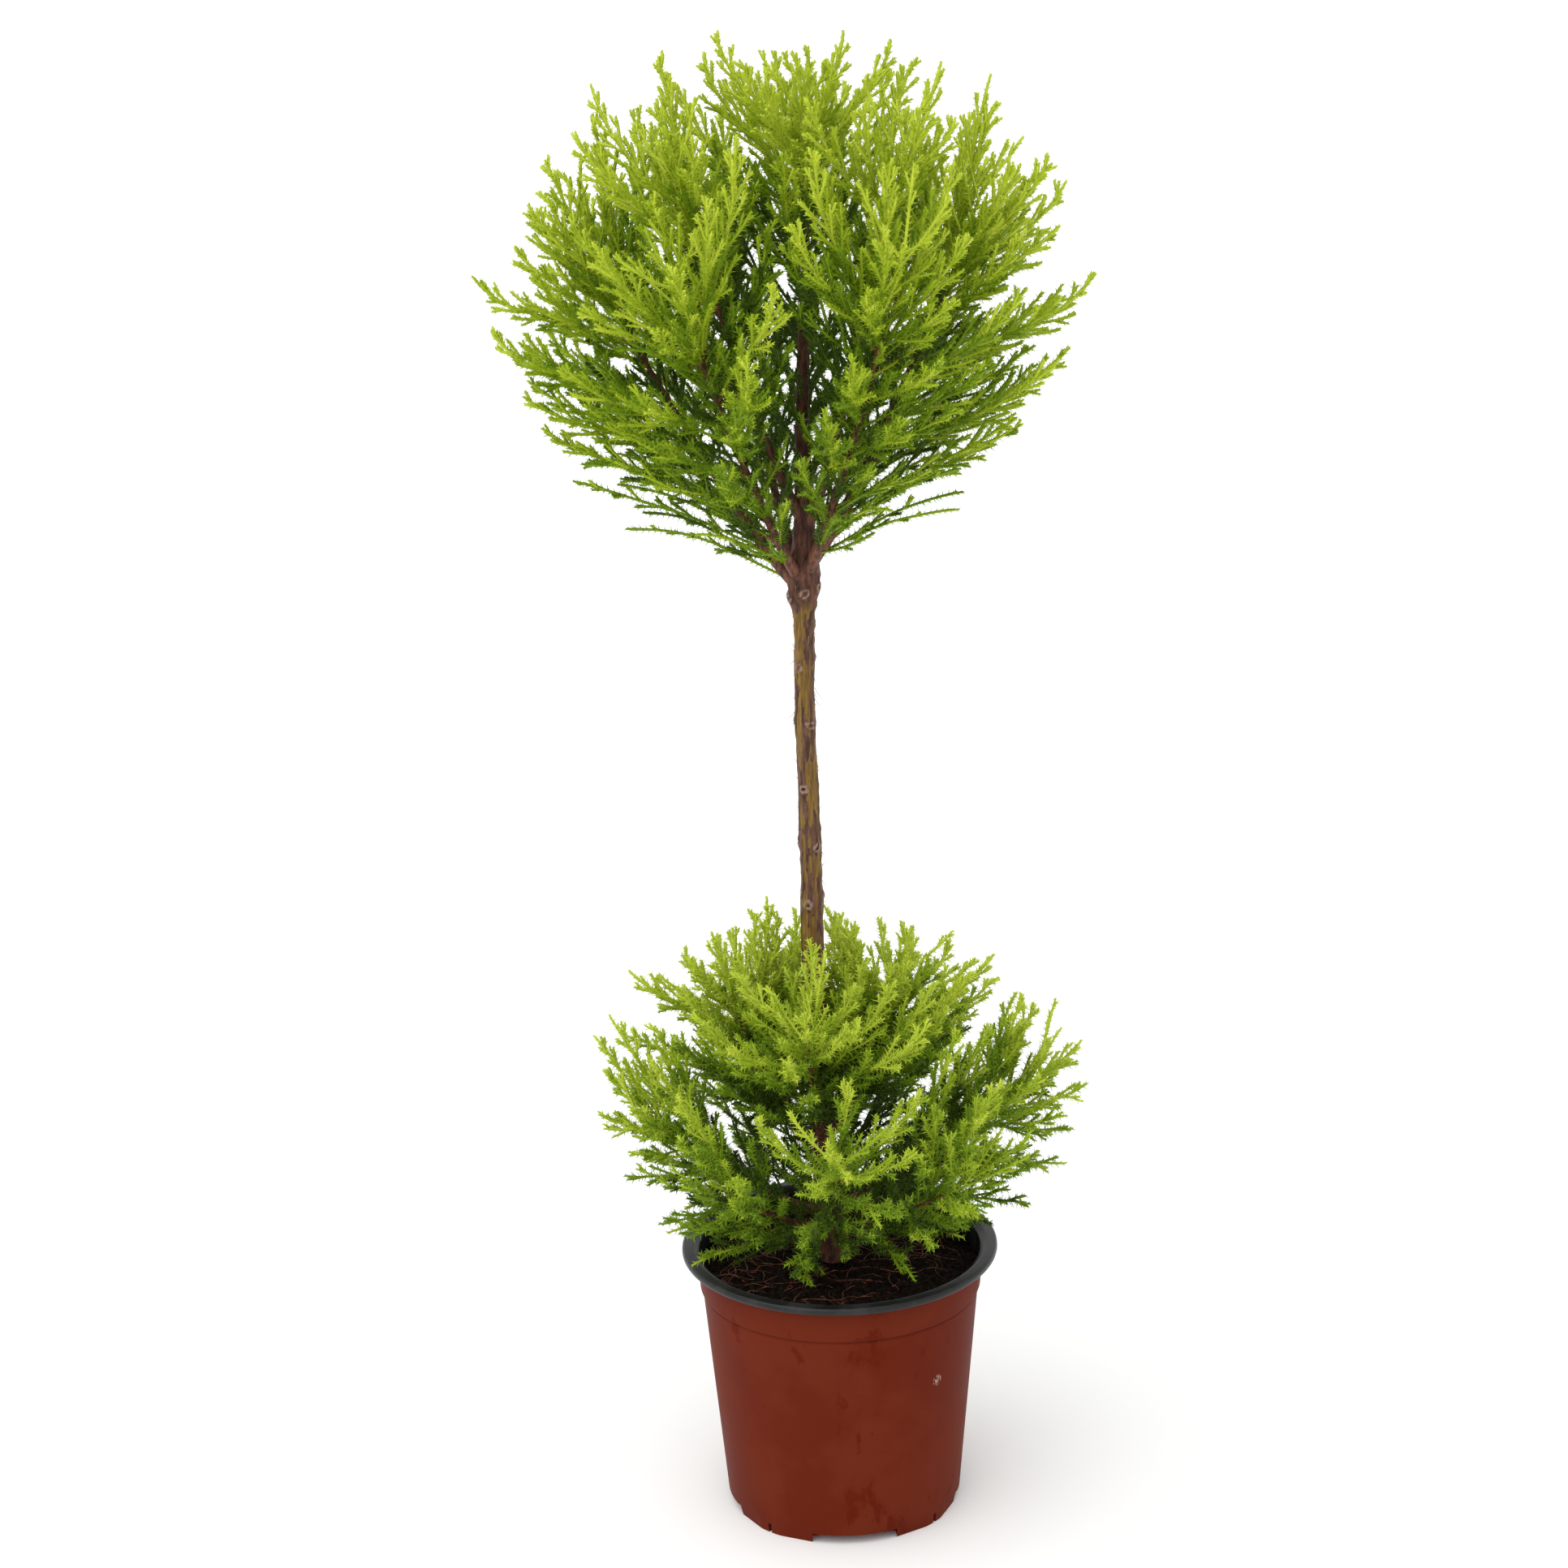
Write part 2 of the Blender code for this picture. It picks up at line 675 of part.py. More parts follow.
def keep_outer_shell(obj):
    """Drops sealed hollows and loose scraps, keeping the one shell of most volume."""
    bm = bmesh.new()
    bm.from_mesh(obj.data)
    kept = max(linked_faces(bm), key=shell_volume)
    loose = [face for face in bm.faces if face not in kept]
    bmesh.ops.delete(bm, geom=loose, context="FACES")
    bm.to_mesh(obj.data)
    bm.free()


def make_stem(mass, shape, collection):
    """The mass's own stem, which goes on from its limb's tip 0.3 mm clear."""
    end = int(STEM_SHARE * (len(mass.guide) - 1)) + 1
    points = [mass.root + mass.heading * SEAT_GAP, *mass.guide[1 : end + 1]]
    foot = mass.limb.radii[-1]
    radii = [foot * (1 - STEM_TAPER * i / end) for i in range(end + 1)]
    return from_bmesh(mass.name, limb_bmesh(points, radii, shape, collection), collection)


def make_mass(mass, masses, limbs, shape, rand, collection):
    """One mass: its stem and its shoots joined into one closed body."""
    pieces = new_collection(f"{mass.name}_pieces")
    obj = make_stem(mass, shape, collection)
    fitted = [fitted_shoot(mass, target, masses, limbs) for target in mass.targets]
    paths = [path for path in fitted if path]
    for path in paths:
        others = [other for other in paths if other is not path]
        shoot_object(path, others, mass, masses, limbs, shape, rand, pieces)
    boolean(obj, "UNION", "MANIFOLD", collection=pieces)
    for piece in list(pieces.objects):
        bpy.data.objects.remove(piece)
    bpy.data.collections.remove(pieces)
    keep_outer_shell(obj)
    rise = (mass.guide[-1].z - BALL_MIDDLE.z) / (CROWN_MIDDLE.z - BALL_MIDDLE.z)
    share = min(1.0, max(0.0, rise))
    finish(obj, Vector(LEAF_GREEN).lerp(Vector(LIME), share), 0.75)


def spread_targets(masses, middle, reach, count, rand):
    """Points spread evenly over the reach, each given to the mass whose spine is nearest."""
    for i in range(count):
        rise = 1 - 2 * (i + 0.5) / count
        level = math.sqrt(1 - rise * rise)
        turn = i * GOLDEN_TURN
        direction = Vector((level * math.cos(turn), level * math.sin(turn), rise))
        spread = INNER_SPREAD if i % INNER_EVERY == 0 else REACH_SPREAD
        target = middle + direction * reach_at(direction, reach) * rand.uniform(*spread)
        nearest = min(masses, key=lambda mass: mass.distance(target))
        nearest.targets.append(target)


def make_tier(word, rows, middle, reach, trunk, shapes, collection):
    """The boughs of the crown or the ball, with the mass that each is to carry."""
    masses = []
    for i, row in enumerate(rows):
        limb = bough_limb(trunk, row)
        make_bough(f"{word}_bough_{i + 1}", limb, trunk, shapes, collection)
        masses.append(Mass(f"{word}_mass_{i + 1}", limb, middle, reach))
    return masses


def main():
    clear_scene()
    parts = new_collection("potted_lemon_cypress")
    sections = new_collection("sections")
    cutters = new_collection("cutters")
    shapes = {sides: section(sides, sections) for sides in (TRUNK_SIDES, BOUGH_SIDES, SHOOT_SIDES)}
    trunk = make_trunk(parts, shapes[TRUNK_SIDES])
    crown = make_tier("crown", CROWN_BOUGHS, CROWN_MIDDLE, CROWN_REACH, trunk, shapes, parts)
    ball = make_tier("ball", BALL_BOUGHS, BALL_MIDDLE, BALL_REACH, trunk, shapes, parts)
    limbs = [trunk] + [mass.limb for mass in crown + ball]
    crown.append(Mass("crown_top_mass", trunk, CROWN_MIDDLE, CROWN_REACH))
    rand = random.Random(SEED)
    spread_targets(crown, CROWN_MIDDLE, CROWN_REACH, CROWN_SHOOTS, rand)
    spread_targets(ball, BALL_MIDDLE, BALL_REACH, BALL_SHOOTS, rand)
    for mass in crown + ball:
        make_mass(mass, crown + ball, limbs, shapes[SHOOT_SIDES], rand, parts)
    make_soil(parts)
    make_pot(parts, cutters)


main()
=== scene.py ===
"""Potted lemon cypress: a two-ball standard of soft lime foliage in a two-tone nursery pot.

Metres, +Z up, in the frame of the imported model. The pot, the compost, the bark and each
mass of foliage are made here in full detail, and stand for the frame's own solids.
"""

import math
import random
from bisect import bisect_right
from collections import namedtuple

import bmesh
import bpy
import numpy as np
from mathutils import Matrix, Quaternion, Vector, noise


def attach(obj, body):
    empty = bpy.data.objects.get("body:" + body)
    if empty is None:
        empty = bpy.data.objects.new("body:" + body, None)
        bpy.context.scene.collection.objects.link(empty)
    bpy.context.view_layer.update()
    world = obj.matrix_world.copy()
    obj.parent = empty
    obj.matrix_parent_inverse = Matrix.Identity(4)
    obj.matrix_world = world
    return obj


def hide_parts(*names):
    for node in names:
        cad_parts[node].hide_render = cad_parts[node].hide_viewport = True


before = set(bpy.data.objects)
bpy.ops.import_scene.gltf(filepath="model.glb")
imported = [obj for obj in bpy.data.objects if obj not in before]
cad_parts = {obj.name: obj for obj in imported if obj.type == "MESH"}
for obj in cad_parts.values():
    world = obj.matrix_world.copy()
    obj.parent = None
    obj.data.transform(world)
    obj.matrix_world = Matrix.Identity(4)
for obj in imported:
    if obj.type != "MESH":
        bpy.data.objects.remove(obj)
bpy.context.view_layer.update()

# Camera: how the photograph looks down on the pot's rim
RIM_RADIUS = 0.095
POT_HEIGHT = 0.167
CAMERA_RANGE = 2.4
CAMERA_RISE = math.radians(24.89)
CAMERA_TILT = math.radians(18.29)
CAMERA_PAN = math.radians(-0.705)
CAMERA_ROLL = math.radians(-1.39)
CAMERA_LENS = 90.78

# Studio
FLOOR_SIZE = 40.0
FLOOR_COLOUR = (0.93, 0.93, 0.92)
SKY_COLOUR = (1.0, 1.0, 1.0)
SKY_STRENGTH = 0.90
CANOPY_FROM = Vector((-0.30, -0.42, 0.86))
CANOPY_STRENGTH = 1.65
CANOPY_SPREAD = math.radians(75)

# Pot
SHEET = 0.0012
FLANGE_WIDTH = 0.0065
CURL_DROP = 0.0045
CURL_RADIUS = 0.0010
COLLAR_TOP_RADIUS = 0.0862
COLLAR_LOW_RADIUS = 0.0846
GROOVE_HEIGHT = 0.1394
GROOVE_DEPTH = 0.0006
BODY_TOP_RADIUS = 0.0830
BASE_RADIUS = 0.0704
FOOT_HEIGHT = 0.0062
FOOT_INNER_RADIUS = 0.0590
PAD_RADIUS = 0.0300
STEP_DRAFT = 0.0015
LIP_DROP = 0.0030
LINING = 0.0005
QUARTERS = 4
GAP_TURN = math.radians(5)
GAP_LOW_WIDTH = 0.0370
GAP_HIGH_WIDTH = 0.0230
NOTCH_WIDTH = 0.0024
CUT_LENGTH = 0.0240
FACET_HEIGHT = 0.0155
FACET_DEPTH = 0.0016
FACET_SLAB = Vector((0.0200, 0.0600, 0.0600))
FACET_TURN = math.radians(28)
DRAIN_RADIUS = 0.0040
DRAIN_RING = 0.0450
DRAIN_SIDES = 16
TURNED_STEPS = 144

# Pot colours and the scuff on its front
BLACK = (0.0, 0.0, 0.0)
WHITE = (1.0, 1.0, 1.0)
BRICK_COLOURS = ((0.117, 0.0130, 0.0036), (0.134, 0.0185, 0.0062))
WATER_MARK_COLOUR = (0.106, 0.0098, 0.0022)
SCUFF_PLACE = (0.0560, -0.0560, 0.1010)
SCUFF_RADII = (0.0042, 0.0022)
RIM_COLOURS = ((0.0085, 0.0085, 0.0095), (0.024, 0.024, 0.026))

# Compost
COMPOST_COLOURS = ((0.0050, 0.0032, 0.0022), (0.026, 0.0135, 0.0080))
SOIL_HEIGHT = 0.1530
SOIL_SINK = 0.0012
SOIL_MOUND = 0.0035
MOUND_RADIUS = 0.045
CLOD_SCALE = 95
CLOD_RISE = 0.0019
SWELL_SCALE = 28
SWELL_RISE = 0.0016
SOIL_EDGE = COLLAR_LOW_RADIUS - SHEET - LINING
SOIL_RINGS = 44
SOIL_SIDES = 150
CRUMB_SLOPE = 0.4
CRUMB_DENSITY = 150000.0
CRUMB_RADII = (0.0004, 0.0013)
CLOD_DENSITY = 14000.0
CLOD_RADII = (0.0010, 0.0026)
SPECK_DENSITY = 1300.0
SPECK_RADII = (0.0003, 0.0007)
ROOTLETS = 130
ROOTLET_LENGTH = (0.010, 0.048)
ROOTLET_RADIUS = (0.00020, 0.00040)
ROOTLET_ARCH = 0.0035
ROOTLET_STEPS = 9
ROOTLET_AREA = (0.02, 0.80)
ROOTLET_TURN = 0.6
ROOTLET_TAPER = 0.6
ROOTLET_EDGE = 0.96
ROOTLET_SIDES = 4

# Trunk: height, sideways place and radius of its bends and knots
TRUNK_POINTS = (
    (0.1568, -0.0030, 0.0000, 0.0104),
    (0.1650, -0.0030, 0.0000, 0.0088),
    (0.1800, -0.0048, 0.0006, 0.0077),
    (0.2200, -0.0084, 0.0016, 0.0072),
    (0.2800, -0.0114, 0.0024, 0.0069),
    (0.3340, -0.0121, 0.0026, 0.0067),
    (0.3780, -0.0121, 0.0020, 0.0065),
    (0.3860, -0.0122, 0.0018, 0.0067),
    (0.3950, -0.0121, 0.0016, 0.0063),
    (0.4180, -0.0122, 0.0010, 0.0063),
    (0.4260, -0.0123, 0.0008, 0.0066),
    (0.4350, -0.0125, 0.0006, 0.0062),
    (0.4860, -0.0134, -0.0004, 0.0058),
    (0.4950, -0.0136, -0.0006, 0.0061),
    (0.5030, -0.0136, -0.0006, 0.0058),
    (0.5200, -0.0136, -0.0008, 0.0057),
    (0.5290, -0.0134, -0.0008, 0.0060),
    (0.5390, -0.0132, -0.0006, 0.0058),
    (0.5600, -0.0131, 0.0000, 0.0063),
    (0.5720, -0.0132, 0.0002, 0.0092),
    (0.5860, -0.0128, 0.0004, 0.0098),
    (0.6000, -0.0120, 0.0008, 0.0070),
    (0.6200, -0.0114, 0.0014, 0.0056),
    (0.6500, -0.0118, 0.0018, 0.0046),
    (0.6900, -0.0112, 0.0010, 0.0036),
    (0.7300, -0.0100, 0.0000, 0.0026),
)
TRUNK_SIDES = 44
BOUGH_SIDES = 16
BARK_STEP = 0.0016
FORK_HEIGHT = 0.578
FORK_SPREAD = 0.012
FORK_LUMPS = 0.0018

# Bark: the dark and the light side of each mottle
TWIG_COLOURS = ((0.060, 0.018, 0.008), (0.200, 0.070, 0.026))
OLIVE_COLOURS = ((0.110, 0.058, 0.012), (0.235, 0.135, 0.022))
FLAKE_COLOURS = ((0.048, 0.020, 0.011), (0.150, 0.072, 0.045))
RED_BARK_COLOURS = ((0.034, 0.012, 0.007), (0.150, 0.056, 0.030))
BOUGH_COLOURS = ((0.040, 0.012, 0.006), (0.190, 0.062, 0.026))
SCAR_COLOUR = (0.270, 0.170, 0.130)
HOLLOW_COLOUR = (0.022, 0.010, 0.007)

# Redder bark: it begins at the first height of each row and is full at the second
RED_BARK_HEIGHTS = ((0.5585, 0.5720), (0.3300, 0.2600))

# Scars of cut side shoots: height, compass turn and width
SCARS = (
    (0.5290, 238, 0.0030),
    (0.5335, 352, 0.0022),
    (0.4950, 296, 0.0032),
    (0.4970, 186, 0.0020),
    (0.4560, 246, 0.0032),
    (0.4220, 184, 0.0030),
    (0.4195, 306, 0.0033),
    (0.3845, 252, 0.0036),
    (0.3880, 350, 0.0026),
    (0.5540, 356, 0.0022),
    (0.5700, 204, 0.0034),
    (0.5760, 338, 0.0036),
    (0.5740, 276, 0.0034),
    (0.3420, 230, 0.0028),
)

# Torn shreds of bark: height, compass turn, length and whether they point up or down
SHREDS = (
    (0.5410, 182, 0.0075, 1),
    (0.5400, 190, 0.0060, 1),
    (0.5370, 176, 0.0065, 1),
    (0.5330, 184, 0.0050, -1),
    (0.5160, 352, 0.0150, -1),
    (0.5100, 346, 0.0100, -1),
    (0.5020, 182, 0.0090, -1),
    (0.4960, 186, 0.0070, -1),
    (0.4670, 354, 0.0050, 1),
    (0.4640, 2, 0.0060, 1),
    (0.4590, 350, 0.0045, -1),
    (0.4420, 356, 0.0050, 1),
    (0.4330, 348, 0.0070, -1),
    (0.4160, 352, 0.0050, -1),
    (0.4060, 4, 0.0075, 1),
    (0.3980, 350, 0.0060, -1),
    (0.3930, 184, 0.0040, -1),
    (0.3830, 356, 0.0050, 1),
    (0.5740, 190, 0.0060, -1),
    (0.5690, 198, 0.0070, -1),
    (0.5780, 350, 0.0060, -1),
    (0.5660, 344, 0.0050, -1),
)
SHRED_COUNT = 90
SHRED_HEIGHTS = (0.335, 0.592)
SHRED_LENGTH = (0.0018, 0.0048)
SHRED_RADIUS = (0.00012, 0.00024)
SHRED_STEPS = 6
SHRED_TAPER = 0.75
SHRED_SEAT = 0.97
SHRED_SIDEWAYS = 0.9
SHRED_CURL = (0.05, 0.42)
SHRED_SAG = (-0.25, 0.1)
SHRED_EASES = 0.6

# Reach of the foliage from a middle, at every 30 degrees from the right-hand side up and round
CROWN_MIDDLE = Vector((-0.0200, 0.0000, 0.7500))
CROWN_REACH = (0.166, 0.158, 0.142, 0.131, 0.143, 0.148, 0.164, 0.155, 0.158, 0.150, 0.148, 0.150)
BALL_MIDDLE = Vector((0.0010, 0.0000, 0.2780))
BALL_REACH = (0.144, 0.116, 0.086, 0.090, 0.110, 0.124, 0.142, 0.140, 0.126, 0.110, 0.116, 0.140)
LOBE_DEPTH = 0.05
LOBE_SCALE = 2.3

# Boughs: foot height on the trunk, compass turn, rise at the foot and at the tip, length, foot radius
CROWN_BOUGHS = (
    (0.574, 176, 46, 60, 0.062, 0.0046),
    (0.578, 236, 46, 60, 0.058, 0.0040),
    (0.580, 300, 48, 62, 0.060, 0.0042),
    (0.584, 356, 52, 66, 0.064, 0.0046),
    (0.582, 52, 46, 60, 0.060, 0.0040),
    (0.577, 114, 44, 58, 0.060, 0.0042),
    (0.612, 205, 62, 72, 0.070, 0.0036),
    (0.606, 325, 64, 74, 0.072, 0.0038),
    (0.618, 85, 62, 72, 0.070, 0.0036),
)
BALL_BOUGHS = (
    (0.184, 188, 18, 34, 0.042, 0.0036),
    (0.176, 230, 16, 32, 0.038, 0.0034),
    (0.182, 272, 16, 40, 0.036, 0.0034),
    (0.174, 314, 16, 32, 0.038, 0.0034),
    (0.188, 4, 18, 34, 0.042, 0.0036),
    (0.178, 92, 16, 32, 0.042, 0.0034),
    (0.224, 152, 40, 58, 0.036, 0.0032),
    (0.232, 262, 42, 60, 0.036, 0.0032),
    (0.228, 38, 40, 58, 0.036, 0.0032),
)
BOUGH_STEPS = 4
BOUGH_TAPER = 0.45
GUIDE_STEP = 0.024
GUIDE_STEPS = 8
GUIDE_FEWEST = 3
GUIDE_SHARE = 0.78
GUIDE_LIFT = 0.03
STEM_SHARE = 0.62

# Shoots: one leafy plume each
SHOOT_ANGLE = math.radians(38)
FURTHEST_START = 0.58
NEAREST_START = 0.002
START_SPREAD = 0.045
LEAVE_FORWARD = 0.25
LEAVE_HANDLE = 0.30
CROWN_LIFT = 2.0
BALL_LIFT = 1.2
LOW_LIFT = 0.25
LIFT_FALLS = (-0.15, -0.75)
ARRIVE_HANDLE = 0.34
SHOOT_STEPS = 14
SHOOT_WANDER = 0.0035
WANDER_TURNS = 2.4
REACH_SPREAD = (0.88, 1.0)
INNER_SPREAD = (0.46, 0.82)
INNER_EVERY = 2
OVERREACH = 1.04
LIMB_CLEARANCE = 0.0030
POT_CLEARANCE = 0.0040
PULLS = (0.0, 0.12, 0.24, 0.36, 0.5)
PULL_SHORTENS = 0.25
GOLDEN_TURN = math.pi * (3 - math.sqrt(5))

# Plumes that stand out of the outline in the front view: sideways place, depth and height of the tip
CROWN_TIPS = (
    (-0.195, 0.004, 0.758),
    (-0.182, -0.020, 0.729),
    (-0.166, 0.012, 0.697),
    (-0.155, -0.030, 0.677),
    (-0.142, -0.008, 0.642),
    (-0.113, -0.004, 0.614),
    (-0.161, 0.010, 0.794),
    (-0.148, -0.012, 0.825),
    (-0.125, 0.014, 0.862),
    (-0.085, -0.010, 0.878),
    (-0.055, 0.004, 0.889),
    (-0.010, 0.010, 0.876),
    (0.016, -0.004, 0.890),
    (0.041, 0.012, 0.880),
    (0.068, -0.008, 0.873),
    (0.097, 0.006, 0.864),
    (0.127, -0.010, 0.821),
    (0.140, 0.014, 0.802),
    (0.154, 0.000, 0.753),
    (0.139, -0.014, 0.715),
    (0.121, 0.010, 0.692),
    (0.111, -0.020, 0.671),
    (0.078, -0.010, 0.632),
    (0.078, -0.004, 0.620),
)
# Plumes on the near face, in front of the leader and between the boughs
CROWN_FACE = (
    (-0.045, -0.050, 0.770),
    (-0.018, -0.085, 0.790),
    (-0.062, -0.070, 0.735),
    (0.012, -0.060, 0.760),
    (-0.030, -0.100, 0.730),
    (-0.040, 0.060, 0.780),
    (0.030, 0.055, 0.800),
    (-0.005, -0.045, 0.830),
    (0.040, -0.075, 0.815),
    (-0.075, 0.040, 0.750),
)
BALL_FACE = (
    (-0.070, -0.050, 0.290),
    (-0.085, 0.030, 0.275),
    (-0.050, -0.070, 0.260),
    (-0.098, -0.020, 0.302),
    (-0.088, 0.012, 0.322),
    (-0.100, 0.035, 0.282),
    (-0.106, -0.040, 0.262),
    (0.055, 0.040, 0.285),
    (0.060, -0.045, 0.265),
)
BALL_TIPS = (
    (-0.143, 0.004, 0.300),
    (-0.131, -0.012, 0.321),
    (-0.121, 0.010, 0.339),
    (-0.071, -0.008, 0.369),
    (-0.038, 0.012, 0.384),
    (0.008, 0.016, 0.368),
    (0.042, -0.006, 0.348),
    (0.093, 0.006, 0.347),
    (0.112, -0.010, 0.326),
    (0.146, 0.004, 0.292),
    (0.148, -0.014, 0.271),
    (0.142, 0.010, 0.235),
    (0.136, -0.016, 0.222),
    (0.110, -0.030, 0.203),
    (-0.127, -0.010, 0.216),
    (-0.132, 0.008, 0.248),
    (-0.106, -0.024, 0.192),
    (-0.099, -0.012, 0.170),
    (-0.090, -0.042, 0.168),
    (-0.022, -0.070, 0.172),
    (0.031, -0.074, 0.160),
    (0.074, -0.030, 0.182),
)

# Side growth: gap along the parent, angle, length gained per metre from its tip, shortest and longest
Growth = namedtuple("Growth", "gap angle gain shortest longest steps")
SPRAYS = Growth(0.0052, math.radians(28), 0.36, 0.0060, 0.030, 4)
BRANCHLETS = Growth(0.0085, math.radians(30), 0.34, 0.0045, 0.010, 2)
FIRST_SIDE = 0.0060
PLUME_SHARE = 0.78
GREEN_SHARE = 0.92
WHIP_ABOVE = -0.40
WHIP_BELOW = -0.80
WHIP_SHARE = 0.35
INNER_FROM = 0.024
INNER_GAP = 0.0045
INNER_ANGLE = math.radians(48)
INNER_LENGTH = (0.020, 0.055)
SIDE_BEND = 0.16
SIDE_LIFT = 0.05
SIDE_LENGTHS = (0.72, 1.22)
SIDE_GAPS = (0.8, 1.25)
LEAST_VIGOUR = 0.5
BRANCHLET_SHARE = 0.72
BRANCHLET_SIZE = 0.92
STEM_CLOTHED = 0.96
FOOT_RADIUS = 0.0015
FOOT_TAPER = 0.0005
FOOT_STEPS = 4
INNER_STEPS = 6
OUTER_STEPS = 7
INNER_OVERLAP = 0.9
OUTER_OVERLAP = 0.97

# Twigs and needles: each pair is first where needles press close, then where they stand off
Leafage = namedtuple("Leafage", "core_tight core_loose long_tight long_loose lean_tight lean_loose width gap")
CROWN_LEAFAGE = Leafage(
    0.00110, 0.00090, 0.0026, 0.0034, math.radians(42), math.radians(58), 0.00031, 0.00086
)
BALL_LEAFAGE = Leafage(
    0.00100, 0.00085, 0.0033, 0.0039, math.radians(52), math.radians(66), 0.00035, 0.00094
)
TWIG_SIDES = 3
CLUB = 1.12
CLUB_END = 0.75
TIP_NEEDLE = 0.40
TIP_LEAN = 0.58
WOOD_SIDES = 5
PIECE_LIMIT = 190000
NEEDLE_FACES = 3
NEEDLE_SEAT = 0.75
NEEDLE_TURN = math.radians(92)
NEEDLE_UNEVENNESS = 0.2
NEAR_TIP_LEAN = 0.9

# Painted light and shade on the foliage, over its own yellower outer growth: how much its depth and its
# height lighten the tint, and where one tint gives way to the next
LIGHT_BY_DEPTH = 0.58
LIGHT_BY_HEIGHT = 0.46
LIGHT_SPREAD = 0.10
TINTS = ("deep", "mid", "fresh_and_lit", "lime")
TINT_LIMITS = (0.55, 0.69, 0.82)

# How loose the needles stand: at the middle, how fast that falls outwards, and its share low down
LOOSEST = 1.35
LOOSE_FALL = 0.75
LOW_FALL = 0.35

# Each tier: how many shoots, and the heights from its foot to its top
CROWN_SHOOTS = 310
BALL_SHOOTS = 270
CROWN_HEIGHTS = (0.58, 0.88)
BALL_HEIGHTS = (0.17, 0.37)

SEED = 4


# Node trees

def put(tree, node, name, value):
    """Sets a node's input, or links it where the value is another node's output."""
    if isinstance(value, bpy.types.NodeSocket):
        tree.links.new(value, node.inputs[name])
    else:
        node.inputs[name].default_value = value


def step(tree, kind, inputs=None, **settings):
    """Adds a node with its settings and its inputs."""
    node = tree.nodes.new(kind)
    for name, value in settings.items():
        setattr(node, name, value)
    for name, value in (inputs or {}).items():
        put(tree, node, name, value)
    return node


def new_group(name, kind, inputs, outputs):
    """An empty node group with named sockets, its input sockets and its output node."""
    tree = bpy.data.node_groups.new(name, kind)
    for label, socket_type in inputs.items():
        tree.interface.new_socket(name=label, in_out="INPUT", socket_type=f"NodeSocket{socket_type}")
    for label, socket_type in outputs.items():
        tree.interface.new_socket(name=label, in_out="OUTPUT", socket_type=f"NodeSocket{socket_type}")
    given = tree.nodes.new("NodeGroupInput").outputs
    result = tree.nodes.new("NodeGroupOutput")
    return tree, given, result


def stored(tree, name):
    """The value of a named attribute at each point."""
    return step(tree, "GeometryNodeInputNamedAttribute", {"Name": name}).outputs["Attribute"]


def arithmetic(tree, operation, first, second):
    node = step(tree, "ShaderNodeMath", {0: first, 1: second}, operation=operation)
    return node.outputs["Value"]


def rotated(tree, rotation, by):
    """A rotation turned further about its own axes."""
    inputs = {"Rotation": rotation, "Rotate By": by.outputs["Rotation"]}
    return step(tree, "FunctionNodeRotateRotation", inputs, rotation_space="LOCAL").outputs["Rotation"]


def close_geometry(tree, geometry, material, result):
    """Ends a geometry tree: instances realized and the material set."""
    realized = step(tree, "GeometryNodeRealizeInstances", {"Geometry": geometry})
    coloured = step(
        tree, "GeometryNodeSetMaterial", {"Geometry": realized.outputs["Geometry"], "Material": material}
    )
    put(tree, result, "Geometry", coloured.outputs["Geometry"])


def grown(obj, tree, values):
    """Runs a geometry tree on an object, with its named inputs, and keeps the plain mesh."""
    modifier = obj.modifiers.new(tree.name, "NODES")
    modifier.node_group = tree
    for item in tree.interface.items_tree:
        if item.in_out == "INPUT" and item.name in values:
            modifier[item.identifier] = values[item.name]
    graph = bpy.context.evaluated_depsgraph_get()
    mesh = bpy.data.meshes.new_from_object(obj.evaluated_get(graph))
    obj.modifiers.remove(modifier)
    old = obj.data
    obj.data = mesh
    bpy.data.meshes.remove(old)
    mesh.name = obj.name
    return obj


def mesh_of(bm, name):
    """The mesh that a bmesh has built up, which is then freed."""
    mesh = bpy.data.meshes.new(name)
    bm.to_mesh(mesh)
    bm.free()
    return mesh


def add_object(name, mesh):
    obj = bpy.data.objects.new(name, mesh)
    bpy.context.scene.collection.objects.link(obj)
    return obj


def twig_tree():
    """Lines become closed tubes, as thick as their thickness attribute says."""
    tree, given, result = new_group(
        "twigs_along_lines",
        "GeometryNodeTree",
        {"Geometry": "Geometry", "Sides": "Int", "Material": "Material"},
        {"Geometry": "Geometry"},
    )
    lines = step(tree, "GeometryNodeMeshToCurve", {"Mesh": given["Geometry"]})
    ring = step(tree, "GeometryNodeCurvePrimitiveCircle", {"Resolution": given["Sides"], "Radius": 1.0})
    tubes = step(
        tree,
        "GeometryNodeCurveToMesh",
        {
            "Curve": lines.outputs["Curve"],
            "Profile Curve": ring.outputs["Curve"],
            "Scale": stored(tree, "thickness"),
            "Fill Caps": True,
        },
    )
    close_geometry(tree, tubes.outputs["Mesh"], given["Material"], result)
    return tree


